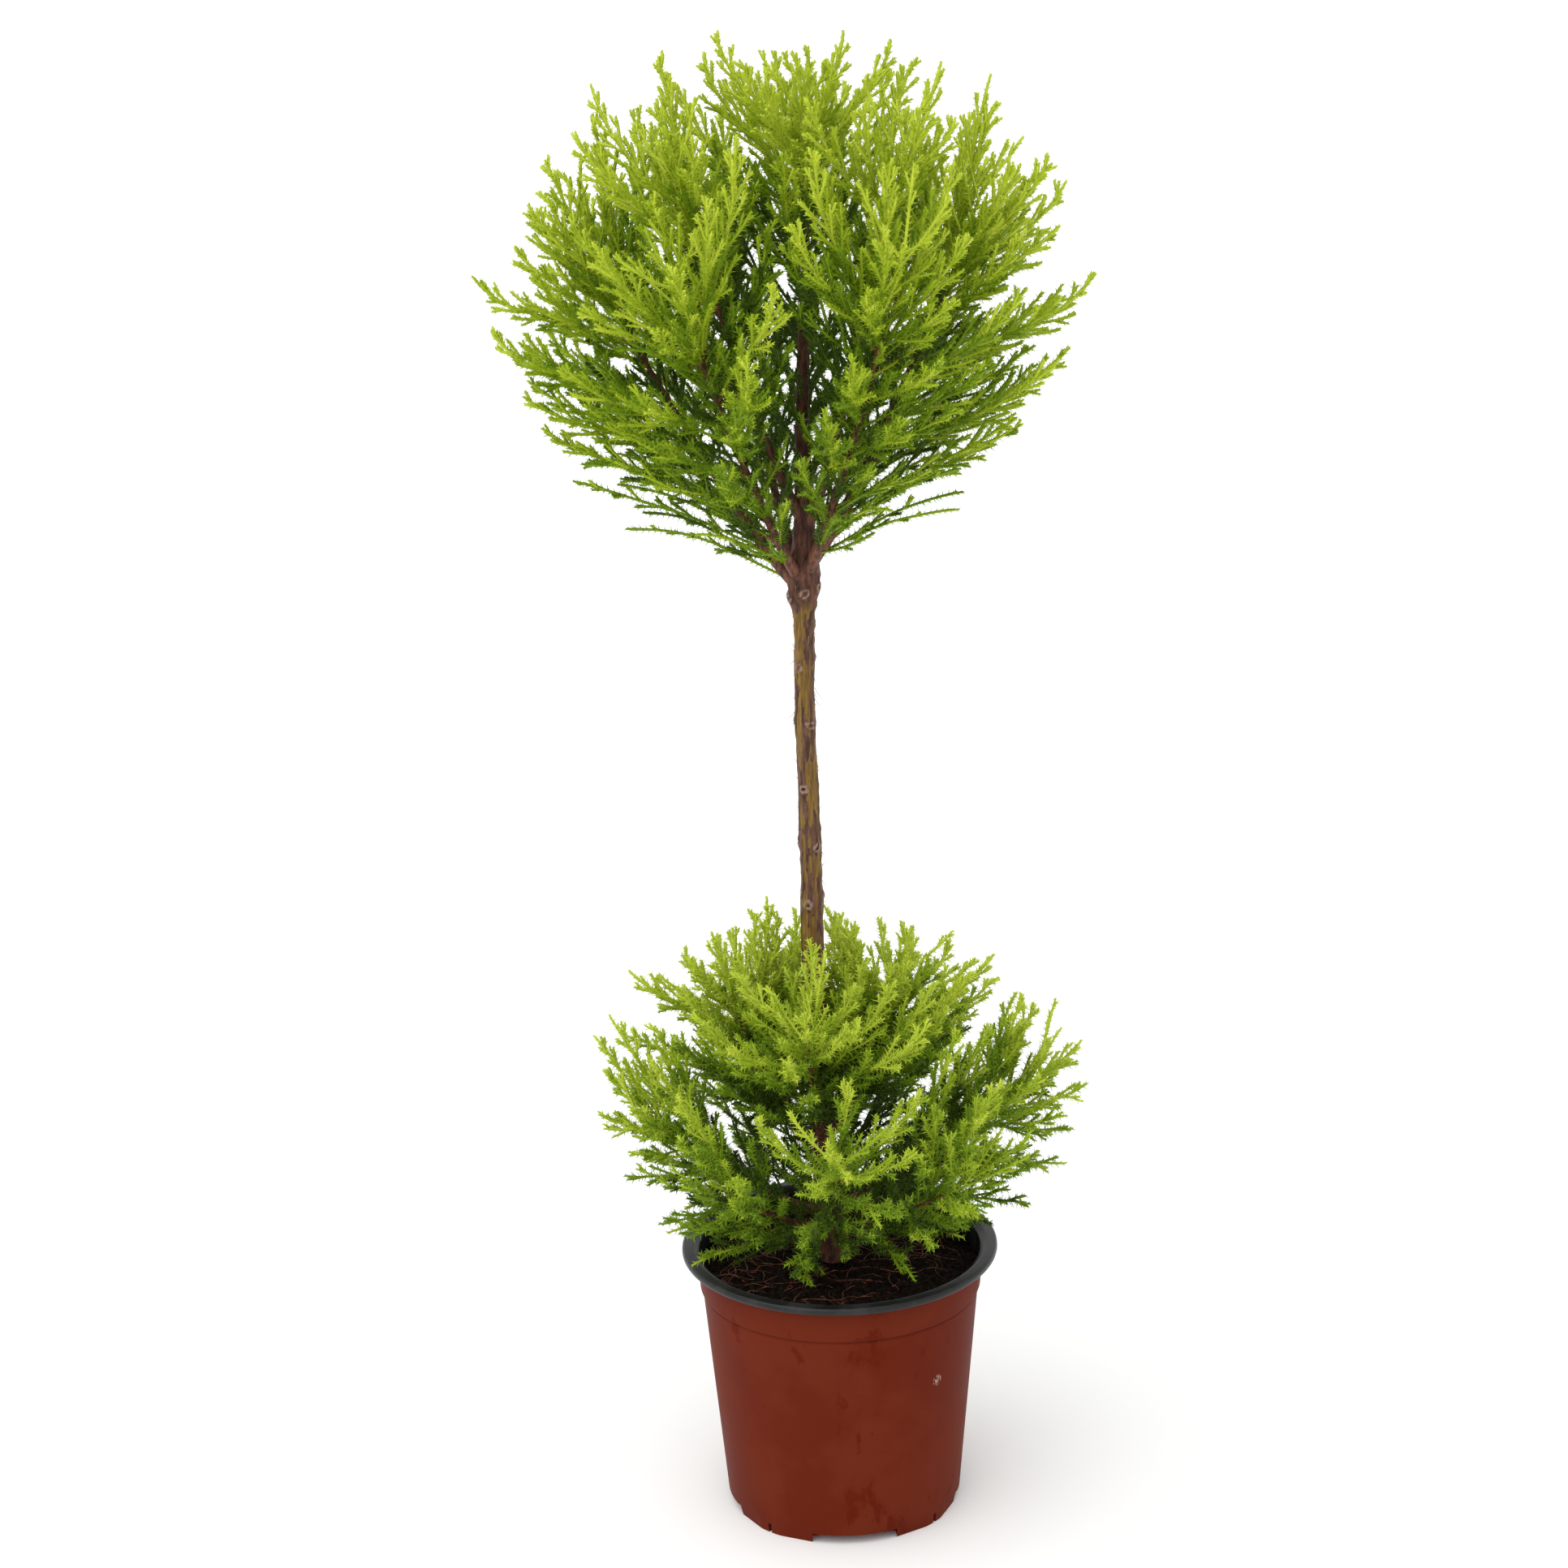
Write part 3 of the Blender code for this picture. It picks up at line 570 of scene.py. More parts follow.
def needle_tree():
    """Needles in a golden spiral along lines, leaning forward, each a slim three-faced spike."""
    tree, given, result = new_group(
        "needles_along_lines",
        "GeometryNodeTree",
        {
            "Geometry": "Geometry",
            "Needle Gap": "Float",
            "Needle Turn": "Float",
            "Unevenness": "Float",
            "Seed": "Int",
            "Material": "Material",
        },
        {"Geometry": "Geometry"},
    )
    lines = step(tree, "GeometryNodeMeshToCurve", {"Mesh": given["Geometry"]})
    feet = step(tree, "GeometryNodeCurveToPoints", mode="LENGTH")
    put(tree, feet, "Curve", lines.outputs["Curve"])
    put(tree, feet, "Length", given["Needle Gap"])
    index = step(tree, "GeometryNodeInputIndex")
    spiral = arithmetic(tree, "MULTIPLY", index.outputs["Index"], given["Needle Turn"])
    around = step(tree, "FunctionNodeAxisAngleToRotation", {"Angle": spiral})
    vary = step(tree, "FunctionNodeRandomValue", data_type="FLOAT")
    put(tree, vary, 2, arithmetic(tree, "SUBTRACT", 1.0, given["Unevenness"]))
    put(tree, vary, 3, arithmetic(tree, "ADD", 1.0, given["Unevenness"]))
    put(tree, vary, "Seed", given["Seed"])
    lean = arithmetic(tree, "MULTIPLY", stored(tree, "needle_lean"), vary.outputs[1])
    outward = step(tree, "FunctionNodeAxisAngleToRotation", {"Axis": (1.0, 0.0, 0.0), "Angle": lean})
    facing = rotated(tree, feet.outputs["Rotation"], around)
    leaning = rotated(tree, facing, outward)
    sunk = arithmetic(tree, "MULTIPLY", stored(tree, "thickness"), -NEEDLE_SEAT)
    across = step(tree, "ShaderNodeCombineXYZ", {"Y": sunk})
    aside = step(tree, "FunctionNodeRotateVector", {"Vector": across.outputs["Vector"], "Rotation": facing})
    seats = step(
        tree,
        "GeometryNodeSetPosition",
        {"Geometry": feet.outputs["Points"], "Offset": aside.outputs["Vector"]},
    )
    long = arithmetic(tree, "MULTIPLY", stored(tree, "needle_length"), vary.outputs[1])
    breadth = stored(tree, "needle_width")
    size = step(tree, "ShaderNodeCombineXYZ", {"X": breadth, "Y": breadth, "Z": long})
    needle = step(
        tree,
        "GeometryNodeMeshCone",
        {"Vertices": NEEDLE_FACES, "Radius Top": 0.0, "Radius Bottom": 1.0, "Depth": 1.0},
        fill_type="NONE",
    )
    needles = step(
        tree,
        "GeometryNodeInstanceOnPoints",
        {
            "Points": seats.outputs["Geometry"],
            "Instance": needle.outputs["Mesh"],
            "Rotation": leaning,
            "Scale": size.outputs["Vector"],
        },
    )
    close_geometry(tree, needles.outputs["Instances"], given["Material"], result)
    return tree


# Finishes

def mottle_group():
    """Two colours in soft patches, with a second, finer patchiness in the height."""
    tree, given, result = new_group(
        "soft_mottle",
        "ShaderNodeTree",
        {
            "Vector": "Vector",
            "Scale": "Float",
            "Low": "Float",
            "High": "Float",
            "Dark": "Color",
            "Light": "Color",
        },
        {"Colour": "Color", "Mask": "Float", "Height": "Float"},
    )
    patches = step(
        tree,
        "ShaderNodeTexNoise",
        {"Vector": given["Vector"], "Scale": given["Scale"], "Detail": 4.0, "Roughness": 0.6},
    )
    mask = step(
        tree,
        "ShaderNodeMapRange",
        {"Value": patches.outputs["Fac"], "From Min": given["Low"], "From Max": given["High"]},
        interpolation_type="SMOOTHSTEP",
    )
    blend = step(
        tree,
        "ShaderNodeMix",
        {0: mask.outputs["Result"], 6: given["Dark"], 7: given["Light"]},
        data_type="RGBA",
    )
    put(tree, result, "Colour", blend.outputs[2])
    put(tree, result, "Mask", mask.outputs["Result"])
    put(tree, result, "Height", patches.outputs["Fac"])
    return tree


class Finish:
    """A material under construction: its tree, its Principled BSDF and its object coordinates."""

    def __init__(self, name):
        self.material = bpy.data.materials.new(name)
        self.material.use_nodes = True
        self.tree = self.material.node_tree
        self.shader = self.tree.nodes["Principled BSDF"]
        self.place = self.step("ShaderNodeTexCoord").outputs["Object"]

    def step(self, kind, inputs=None, **settings):
        return step(self.tree, kind, inputs, **settings)

    def set(self, name, value):
        put(self.tree, self.shader, name, value)

    def stretched(self, scale):
        """Object coordinates squeezed or stretched along each axis."""
        return self.step("ShaderNodeMapping", {"Vector": self.place, "Scale": scale}).outputs["Vector"]

    def mottle(self, group, vector, scale, low, high, dark, light):
        node = self.step("ShaderNodeGroup", node_tree=group)
        values = {
            "Vector": vector,
            "Scale": scale,
            "Low": low,
            "High": high,
            "Dark": (*dark, 1.0) if isinstance(dark, tuple) else dark,
            "Light": (*light, 1.0) if isinstance(light, tuple) else light,
        }
        for name, value in values.items():
            put(self.tree, node, name, value)
        return node.outputs

    def blend(self, mask, low, high):
        """Mixes two colours by a mask."""
        node = self.step("ShaderNodeMix", {0: mask}, data_type="RGBA")
        put(self.tree, node, 6, (*low, 1.0) if isinstance(low, tuple) else low)
        put(self.tree, node, 7, (*high, 1.0) if isinstance(high, tuple) else high)
        return node.outputs[2]

    def ramp(self, value, low, high, to_low=0.0, to_high=1.0):
        node = self.step(
            "ShaderNodeMapRange",
            {"Value": value, "From Min": low, "From Max": high, "To Min": to_low, "To Max": to_high},
            interpolation_type="SMOOTHSTEP",
        )
        return node.outputs["Result"]

    def attribute(self, name):
        return self.step("ShaderNodeAttribute", attribute_name=name).outputs["Fac"]

    def bump(self, height, distance, strength=1.0):
        node = self.step("ShaderNodeBump", {"Height": height, "Distance": distance, "Strength": strength})
        self.set("Normal", node.outputs["Normal"])


def leaf_finish(name, mottle, deep, pale):
    """Soft needles: two close greens in patches of a few millimetres, with a waxy sheen."""
    finish = Finish(name)
    tint = finish.mottle(mottle, finish.place, 260.0, 0.36, 0.64, deep, pale)
    finish.set("Base Color", tint["Colour"])
    finish.set("Roughness", finish.ramp(tint["Mask"], 0.0, 1.0, 0.62, 0.5))
    finish.set("Specular IOR Level", 0.22)
    return finish.material


def wood_finish(name, mottle):
    """Young red-brown twigs."""
    finish = Finish(name)
    streaks = finish.mottle(mottle, finish.stretched((1.0, 1.0, 0.25)), 420.0, 0.35, 0.68, *TWIG_COLOURS)
    finish.set("Base Color", streaks["Colour"])
    finish.set("Roughness", 0.7)
    finish.bump(streaks["Height"], 0.0003)
    return finish.material


def trunk_finish(mottle):
    """Olive-brown stem under flakes of grey-red bark, with pale, dark-centred scars and a redder fork."""
    finish = Finish("stem_bark")
    fine = finish.mottle(mottle, finish.stretched((1.0, 1.0, 0.10)), 640.0, 0.32, 0.70, *OLIVE_COLOURS)
    flake = finish.mottle(mottle, finish.stretched((1.0, 1.0, 0.16)), 520.0, 0.36, 0.66, *FLAKE_COLOURS)
    colour = finish.blend(finish.ramp(finish.attribute("flake"), 0.30, 0.62), fine["Colour"], flake["Colour"])
    height = finish.step("ShaderNodeSeparateXYZ", {"Vector": finish.place}).outputs["Z"]
    red = finish.mottle(mottle, finish.stretched((1.0, 1.0, 0.22)), 460.0, 0.34, 0.68, *RED_BARK_COLOURS)
    for heights in RED_BARK_HEIGHTS:
        colour = finish.blend(finish.ramp(height, *heights), colour, red["Colour"])
    colour = finish.blend(finish.ramp(finish.attribute("scar"), 0.25, 0.85), colour, SCAR_COLOUR)
    colour = finish.blend(finish.ramp(finish.attribute("hollow"), 0.35, 0.80), colour, HOLLOW_COLOUR)
    finish.set("Base Color", colour)
    finish.set("Roughness", finish.ramp(fine["Mask"], 0.0, 1.0, 0.66, 0.48))
    finish.set("Specular IOR Level", 0.25)
    finish.bump(flake["Height"], 0.0005)
    return finish.material


def bough_finish(mottle):
    finish = Finish("bough_bark")
    streaks = finish.mottle(mottle, finish.stretched((1.0, 1.0, 0.30)), 420.0, 0.33, 0.68, *BOUGH_COLOURS)
    finish.set("Base Color", streaks["Colour"])
    finish.set("Roughness", finish.ramp(streaks["Mask"], 0.0, 1.0, 0.75, 0.55))
    finish.bump(streaks["Height"], 0.0005)
    return finish.material


def fibre_finish(name, mottle, dark, light):
    finish = Finish(name)
    tint = finish.mottle(mottle, finish.place, 300.0, 0.35, 0.65, dark, light)
    finish.set("Base Color", tint["Colour"])
    finish.set("Roughness", 0.8)
    return finish.material


def terracotta_finish(mottle):
    """Brick-brown moulded plastic: a satin skin with dried water marks, dark specks and a scuff."""
    finish = Finish("terracotta_plastic")
    broad = finish.mottle(mottle, finish.place, 14.0, 0.42, 0.60, *BRICK_COLOURS)
    marks = finish.mottle(mottle, finish.stretched((1.0, 1.0, 0.55)), 42.0, 0.60, 0.66, BLACK, WHITE)
    colour = finish.blend(marks["Mask"], broad["Colour"], WATER_MARK_COLOUR)
    specks = finish.step("ShaderNodeTexVoronoi", {"Vector": finish.place, "Scale": 75.0, "Randomness": 1.0})
    dot = finish.ramp(specks.outputs["Distance"], 0.055, 0.035)
    dirt = finish.mottle(mottle, finish.place, 30.0, 0.56, 0.60, BLACK, WHITE)
    dirty = arithmetic(finish.tree, "MULTIPLY", dot, dirt["Mask"])
    colour = finish.blend(dirty, colour, (0.045, 0.012, 0.008))
    from_scuff = finish.step(
        "ShaderNodeVectorMath", {0: finish.place, 1: SCUFF_PLACE}, operation="DISTANCE"
    ).outputs["Value"]
    scratch = finish.mottle(mottle, finish.stretched((1.0, 1.0, 0.35)), 900.0, 0.50, 0.56, BLACK, WHITE)
    near = finish.ramp(from_scuff, *SCUFF_RADII)
    scuffed = arithmetic(finish.tree, "MULTIPLY", near, scratch["Mask"])
    colour = finish.blend(scuffed, colour, (0.420, 0.300, 0.260))
    finish.set("Base Color", colour)
    finish.set("Roughness", finish.ramp(broad["Mask"], 0.0, 1.0, 0.50, 0.58))
    finish.set("Specular IOR Level", 0.05)
    grain = finish.mottle(mottle, finish.place, 1500.0, 0.0, 1.0, BLACK, WHITE)
    finish.bump(grain["Height"], 0.00006)
    return finish.material


def black_finish(mottle):
    """Black plastic with a faint grey dustiness."""
    finish = Finish("black_plastic")
    dust = finish.mottle(mottle, finish.place, 55.0, 0.46, 0.72, *RIM_COLOURS)
    finish.set("Base Color", dust["Colour"])
    finish.set("Roughness", finish.ramp(dust["Mask"], 0.0, 1.0, 0.34, 0.5))
    finish.set("Specular IOR Level", 0.30)
    grain = finish.mottle(mottle, finish.place, 1300.0, 0.0, 1.0, BLACK, WHITE)
    finish.bump(grain["Height"], 0.00005)
    return finish.material


def compost_finish(name, mottle, dark, light):
    finish = Finish(name)
    tint = finish.mottle(mottle, finish.place, 330.0, 0.40, 0.72, dark, light)
    finish.set("Base Color", tint["Colour"])
    finish.set("Roughness", 0.93)
    finish.set("Specular IOR Level", 0.10)
    grain = finish.mottle(mottle, finish.place, 1400.0, 0.0, 1.0, dark, light)
    finish.bump(grain["Height"], 0.0006)
    return finish.material


def floor_finish(mottle):
    finish = Finish("pale_floor")
    dimmer = tuple(c * 0.99 for c in FLOOR_COLOUR)
    tint = finish.mottle(mottle, finish.place, 0.6, 0.3, 0.7, FLOOR_COLOUR, dimmer)
    finish.set("Base Color", tint["Colour"])
    finish.set("Roughness", 0.9)
    finish.set("Specular IOR Level", 0.1)
    return finish.material


# Camera and studio

def make_camera():
    data = bpy.data.cameras.new("camera")
    data.lens = CAMERA_LENS
    data.clip_end = 100.0
    camera = add_object("camera", data)
    place = Vector(
        (0, -CAMERA_RANGE * math.cos(CAMERA_RISE), POT_HEIGHT + CAMERA_RANGE * math.sin(CAMERA_RISE))
    )
    ahead = Vector(
        (
            math.sin(CAMERA_PAN) * math.cos(CAMERA_TILT),
            math.cos(CAMERA_PAN) * math.cos(CAMERA_TILT),
            -math.sin(CAMERA_TILT),
        )
    )
    right = ahead.cross(Vector((0, 0, 1))).normalized()
    up = right.cross(ahead)
    turned_right = right * math.cos(CAMERA_ROLL) + up * math.sin(CAMERA_ROLL)
    turned_up = up * math.cos(CAMERA_ROLL) - right * math.sin(CAMERA_ROLL)
    axes = Matrix((turned_right, turned_up, -ahead)).transposed()
    camera.matrix_world = Matrix.Translation(place) @ axes.to_4x4()
    bpy.context.scene.camera = camera


def make_studio(mottle):
    scene = bpy.context.scene
    scene.view_settings.view_transform = "Standard"
    world = bpy.data.worlds.new("studio")
    world.use_nodes = True
    sky = world.node_tree.nodes["Background"]
    sky.inputs["Color"].default_value = (*SKY_COLOUR, 1.0)
    sky.inputs["Strength"].default_value = SKY_STRENGTH
    scene.world = world
    canopy = bpy.data.lights.new("overhead_softbox", "SUN")
    canopy.energy = CANOPY_STRENGTH
    canopy.angle = CANOPY_SPREAD
    lamp = add_object("overhead_softbox", canopy)
    lamp.rotation_euler = (-CANOPY_FROM).to_track_quat("-Z", "Y").to_euler()
    bm = bmesh.new()
    bmesh.ops.create_grid(bm, x_segments=1, y_segments=1, size=FLOOR_SIZE / 2)
    mesh = mesh_of(bm, "floor")
    mesh.materials.append(floor_finish(mottle))
    add_object("floor", mesh)


# Pot

def body_radius(height):
    """The pot wall's outer radius, which widens evenly from the ground to the groove."""
    return BASE_RADIUS + (BODY_TOP_RADIUS - BASE_RADIUS) * height / GROOVE_HEIGHT


def rounded(points, radius, steps=3):
    """A profile with each inner corner turned into a small curve."""
    result = [points[0]]
    for before, corner, after in zip(points, points[1:], points[2:]):
        corner_point = Vector(corner)
        back = Vector(before) - corner_point
        ahead = Vector(after) - corner_point
        cut = min(radius, back.length * 0.45, ahead.length * 0.45)
        start = corner_point + back.normalized() * cut
        end = corner_point + ahead.normalized() * cut
        for i in range(steps + 1):
            share = i / steps
            middle = start.lerp(corner_point, share).lerp(corner_point.lerp(end, share), share)
            result.append(tuple(middle))
    result.append(points[-1])
    return result


def turned(name, profile, material, closed=False):
    """A profile of (radius, height) points, up the inside and down the outside, turned about Z."""
    mesh = bpy.data.meshes.new(name)
    points = [(radius, 0.0, height) for radius, height in profile]
    edges = [(i, i + 1) for i in range(len(points) - 1)]
    if closed:
        edges.append((len(points) - 1, 0))
    mesh.from_pydata(points, edges, [])
    obj = add_object(name, mesh)
    screw = obj.modifiers.new("Turn", "SCREW")
    screw.steps = TURNED_STEPS
    screw.render_steps = TURNED_STEPS
    screw.use_merge_vertices = True
    screw.merge_threshold = 0.00001
    settle(obj)
    obj.data.materials.append(material)
    return obj


def settle(obj):
    """Applies an object's modifiers and its place, and turns its faces outwards."""
    graph = bpy.context.evaluated_depsgraph_get()
    mesh = bpy.data.meshes.new_from_object(obj.evaluated_get(graph))
    mesh.transform(obj.matrix_world)
    obj.modifiers.clear()
    obj.matrix_world = Matrix.Identity(4)
    bm = bmesh.new()
    bm.from_mesh(mesh)
    bmesh.ops.recalc_face_normals(bm, faces=bm.faces)
    if bm.calc_volume(signed=True) < 0:
        bmesh.ops.reverse_faces(bm, faces=bm.faces)
    bm.to_mesh(mesh)
    bm.free()
    old = obj.data
    obj.data = mesh
    bpy.data.meshes.remove(old)
    mesh.name = obj.name


def smooth(obj, angle=40):
    obj.data.shade_smooth()
    obj.data.set_sharp_from_angle(angle=math.radians(angle))


def box_cutter(name, size):
    bm = bmesh.new()
    bmesh.ops.create_cube(bm, size=1.0)
    bmesh.ops.scale(bm, vec=size, verts=bm.verts)
    return add_object(name, mesh_of(bm, name))


def gap_cutter(name, low_width, high_width, turn):
    """A trapezium bar, widest at the ground, that runs out through the foot ring."""
    obj = box_cutter(name, (CUT_LENGTH, low_width, 2 * FOOT_HEIGHT))
    slope = (low_width - high_width) / 2
    for vertex in obj.data.vertices:
        wider = -1 if vertex.co.z > 0 else 1
        vertex.co.y += math.copysign(wider * slope, vertex.co.y)
    middle = (FOOT_INNER_RADIUS + BASE_RADIUS + CUT_LENGTH / 3) / 2
    obj.matrix_world = Matrix.Rotation(turn, 4, "Z") @ Matrix.Translation((middle, 0, 0))
    return obj


def facet_cutter(name, turn):
    """A slab that shaves the outer face of one foot flat."""
    obj = box_cutter(name, FACET_SLAB)
    tilt = math.atan2(FACET_DEPTH + body_radius(FACET_HEIGHT) - BASE_RADIUS, FACET_HEIGHT)
    obj.matrix_world = (
        Matrix.Rotation(turn, 4, "Z")
        @ Matrix.Translation((BASE_RADIUS - FACET_DEPTH, 0, 0))
        @ Matrix.Rotation(tilt, 4, "Y")
        @ Matrix.Translation((FACET_SLAB.x / 2, 0, 0))
    )
    return obj


def drain_cutter(name, turn):
    bm = bmesh.new()
    bmesh.ops.create_cone(
        bm,
        cap_ends=True,
        segments=DRAIN_SIDES,
        radius1=DRAIN_RADIUS,
        radius2=DRAIN_RADIUS,
        depth=2 * FOOT_HEIGHT,
    )
    obj = add_object(name, mesh_of(bm, name))
    place = Matrix.Translation((DRAIN_RING, 0, FOOT_HEIGHT + SHEET))
    obj.matrix_world = Matrix.Rotation(turn, 4, "Z") @ place
    return obj


def foot_cutters():
    quarter = 2 * math.pi / QUARTERS
    cutters = []
    for i in range(QUARTERS):
        gap = GAP_TURN - math.pi / 2 + i * quarter
        cutters.append(gap_cutter(f"foot_gap_{i + 1}", GAP_LOW_WIDTH, GAP_HIGH_WIDTH, gap))
        cutters.append(gap_cutter(f"foot_notch_{i + 1}", NOTCH_WIDTH, NOTCH_WIDTH, gap + quarter / 2))
        cutters.append(drain_cutter(f"drain_{i + 1}", gap + quarter / 2))
        cutters.append(facet_cutter(f"foot_facet_{2 * i + 1}", gap - FACET_TURN))
        cutters.append(facet_cutter(f"foot_facet_{2 * i + 2}", gap + FACET_TURN))
    return cutters


def cut_away(obj, cutters):
    """Cuts every cutter out of an object with one Boolean, and removes them."""
    group = bpy.data.collections.new("cutters")
    bpy.context.scene.collection.children.link(group)
    for cutter in cutters:
        group.objects.link(cutter)
    cut = obj.modifiers.new("Feet", "BOOLEAN")
    cut.operand_type = "COLLECTION"
    cut.collection = group
    cut.solver = "EXACT"
    settle(obj)
    for cutter in cutters:
        bpy.data.objects.remove(cutter)
    bpy.data.collections.remove(group)


def shell_profile():
    """The brick-brown shell: up its inside, over its top under the flange and down to its foot."""
    inside = [
        (0.0, FOOT_HEIGHT + SHEET),
        (body_radius(FOOT_HEIGHT) - SHEET, FOOT_HEIGHT + SHEET),
        (BODY_TOP_RADIUS - SHEET, GROOVE_HEIGHT - SHEET),
        (COLLAR_LOW_RADIUS - SHEET, GROOVE_HEIGHT + SHEET),
        (COLLAR_TOP_RADIUS - SHEET, POT_HEIGHT - CURL_DROP),
    ]
    top = POT_HEIGHT - CURL_DROP + LINING
    outside = [
        (COLLAR_TOP_RADIUS, top),
        (COLLAR_LOW_RADIUS, GROOVE_HEIGHT + 3 * GROOVE_DEPTH),
        (COLLAR_LOW_RADIUS - 2 * GROOVE_DEPTH, GROOVE_HEIGHT + GROOVE_DEPTH),
        (BODY_TOP_RADIUS - GROOVE_DEPTH, GROOVE_HEIGHT),
        (BODY_TOP_RADIUS, GROOVE_HEIGHT - 2 * GROOVE_DEPTH),
        (body_radius(FACET_HEIGHT), FACET_HEIGHT),
        (BASE_RADIUS, 0.0),
        (FOOT_INNER_RADIUS, 0.0),
        (FOOT_INNER_RADIUS - STEP_DRAFT, FOOT_HEIGHT),
        (PAD_RADIUS + 2 * STEP_DRAFT, FOOT_HEIGHT),
        (PAD_RADIUS, 0.0),
        (0.0, 0.0),
    ]
    return rounded(inside + outside, 0.0007)


def rim_profile():
    """The black flange with its curled edge, and the lining that goes down inside to the compost."""
    flange_inner = RIM_RADIUS - FLANGE_WIDTH
    lining_foot = GROOVE_HEIGHT + 4 * SHEET
    wall = COLLAR_LOW_RADIUS - SHEET
    return rounded(
        [
            (wall - LINING, lining_foot),
            (COLLAR_TOP_RADIUS - SHEET - LINING, POT_HEIGHT - LIP_DROP),
            (flange_inner - 0.4 * CURL_RADIUS, POT_HEIGHT),
            (RIM_RADIUS - CURL_RADIUS, POT_HEIGHT),
            (RIM_RADIUS, POT_HEIGHT - 1.4 * CURL_RADIUS),
            (RIM_RADIUS, POT_HEIGHT - CURL_DROP + CURL_RADIUS),
            (RIM_RADIUS - 0.8 * CURL_RADIUS, POT_HEIGHT - CURL_DROP),
            (RIM_RADIUS - 1.9 * CURL_RADIUS, POT_HEIGHT - CURL_DROP + 1.2 * CURL_RADIUS),
            (RIM_RADIUS - 2.2 * CURL_RADIUS, POT_HEIGHT - 2 * SHEET),
            (COLLAR_TOP_RADIUS + LINING, POT_HEIGHT - CURL_DROP + LINING),
            (COLLAR_TOP_RADIUS - SHEET + LINING, POT_HEIGHT - CURL_DROP - LINING),
            (wall + LINING, lining_foot),
            (wall - LINING, lining_foot),
        ],
        0.0009,
    )


def make_pot(mottle):
    shell = turned("pot_shell", shell_profile(), terracotta_finish(mottle))
    cut_away(shell, foot_cutters())
    smooth(shell, 30)
    rim = turned("pot_rim_and_lining", rim_profile()[:-1], black_finish(mottle), closed=True)
    smooth(rim, 50)
    return [shell, rim]


# Compost

def soil_height(x, y):
    """The compost's surface: a low mound round the stem, clods and hollows."""
    flat = math.hypot(x, y)
    mound = SOIL_MOUND * max(0.0, 1 - flat / MOUND_RADIUS)
    clods = noise.fractal(Vector((x, y, 0.3)) * CLOD_SCALE, 1.0, 2.1, 4)
    swell = noise.noise(Vector((x, y, 1.7)) * SWELL_SCALE)
    return SOIL_HEIGHT - SOIL_SINK + mound + CLOD_RISE * clods + SWELL_RISE * swell


def make_soil(mottle):
    """The crumbly top of the compost, closed below, out to the pot's lining."""
    bm = bmesh.new()
    middle = bm.verts.new((0, 0, soil_height(0, 0)))
    rings = []
    for i in range(1, SOIL_RINGS + 1):
        radius = SOIL_EDGE * i / SOIL_RINGS
        ring = []
        for j in range(SOIL_SIDES):
            turn = 2 * math.pi * j / SOIL_SIDES
            x = radius * math.cos(turn)
            y = radius * math.sin(turn)
            ring.append(bm.verts.new((x, y, soil_height(x, y))))
        rings.append(ring)
    skirt = [bm.verts.new((v.co.x, v.co.y, SOIL_HEIGHT - 3 * SOIL_MOUND)) for v in rings[-1]]
    for j in range(SOIL_SIDES):
        bm.faces.new((middle, rings[0][j], rings[0][(j + 1) % SOIL_SIDES]))
    for inner, outer in zip(rings, rings[1:] + [skirt]):
        for j in range(SOIL_SIDES):
            k = (j + 1) % SOIL_SIDES
            bm.faces.new((inner[j], outer[j], outer[k], inner[k]))
    bm.faces.new(list(reversed(skirt)))
    bmesh.ops.recalc_face_normals(bm, faces=bm.faces)
    mesh = mesh_of(bm, "compost")
    mesh.materials.append(compost_finish("compost", mottle, *COMPOST_COLOURS))
    soil = add_object("compost", mesh)
    smooth(soil, 60)
    return soil


def crumb_tree():
    """Crumbs of uneven size and turn, strewn over the faces that look up."""
    tree, given, result = new_group(
        "crumbs_on_ground",
        "GeometryNodeTree",
        {
            "Geometry": "Geometry",
            "Density": "Float",
            "Smallest": "Float",
            "Largest": "Float",
            "Seed": "Int",
            "Material": "Material",
        },
        {"Geometry": "Geometry"},
    )
    normal = step(tree, "GeometryNodeInputNormal")
    parts = step(tree, "ShaderNodeSeparateXYZ", {"Vector": normal.outputs["Normal"]})
    upward = arithmetic(tree, "GREATER_THAN", parts.outputs["Z"], CRUMB_SLOPE)
    spots = step(
        tree,
        "GeometryNodeDistributePointsOnFaces",
        {
            "Mesh": given["Geometry"],
            "Selection": upward,
            "Density": given["Density"],
            "Seed": given["Seed"],
        },
    )
    crumb = step(tree, "GeometryNodeMeshIcoSphere", {"Radius": 1.0, "Subdivisions": 1})
    turn = step(tree, "FunctionNodeRandomValue", data_type="FLOAT_VECTOR")
    put(tree, turn, 0, (0.0, 0.0, 0.0))
    put(tree, turn, 1, (math.tau, math.tau, math.tau))
    put(tree, turn, "Seed", given["Seed"])
    size = step(tree, "FunctionNodeRandomValue", data_type="FLOAT_VECTOR")
    small = step(tree, "ShaderNodeCombineXYZ")
    large = step(tree, "ShaderNodeCombineXYZ")
    for axis in "XYZ":
        put(tree, small, axis, given["Smallest"])
        put(tree, large, axis, given["Largest"])
    put(tree, size, 0, small.outputs["Vector"])
    put(tree, size, 1, large.outputs["Vector"])
    put(tree, size, "Seed", given["Seed"])
    crumbs = step(
        tree,
        "GeometryNodeInstanceOnPoints",
        {
            "Points": spots.outputs["Points"],
            "Instance": crumb.outputs["Mesh"],
            "Rotation": turn.outputs[0],
            "Scale": size.outputs[0],
        },
    )
    close_geometry(tree, crumbs.outputs["Instances"], given["Material"], result)
    return tree


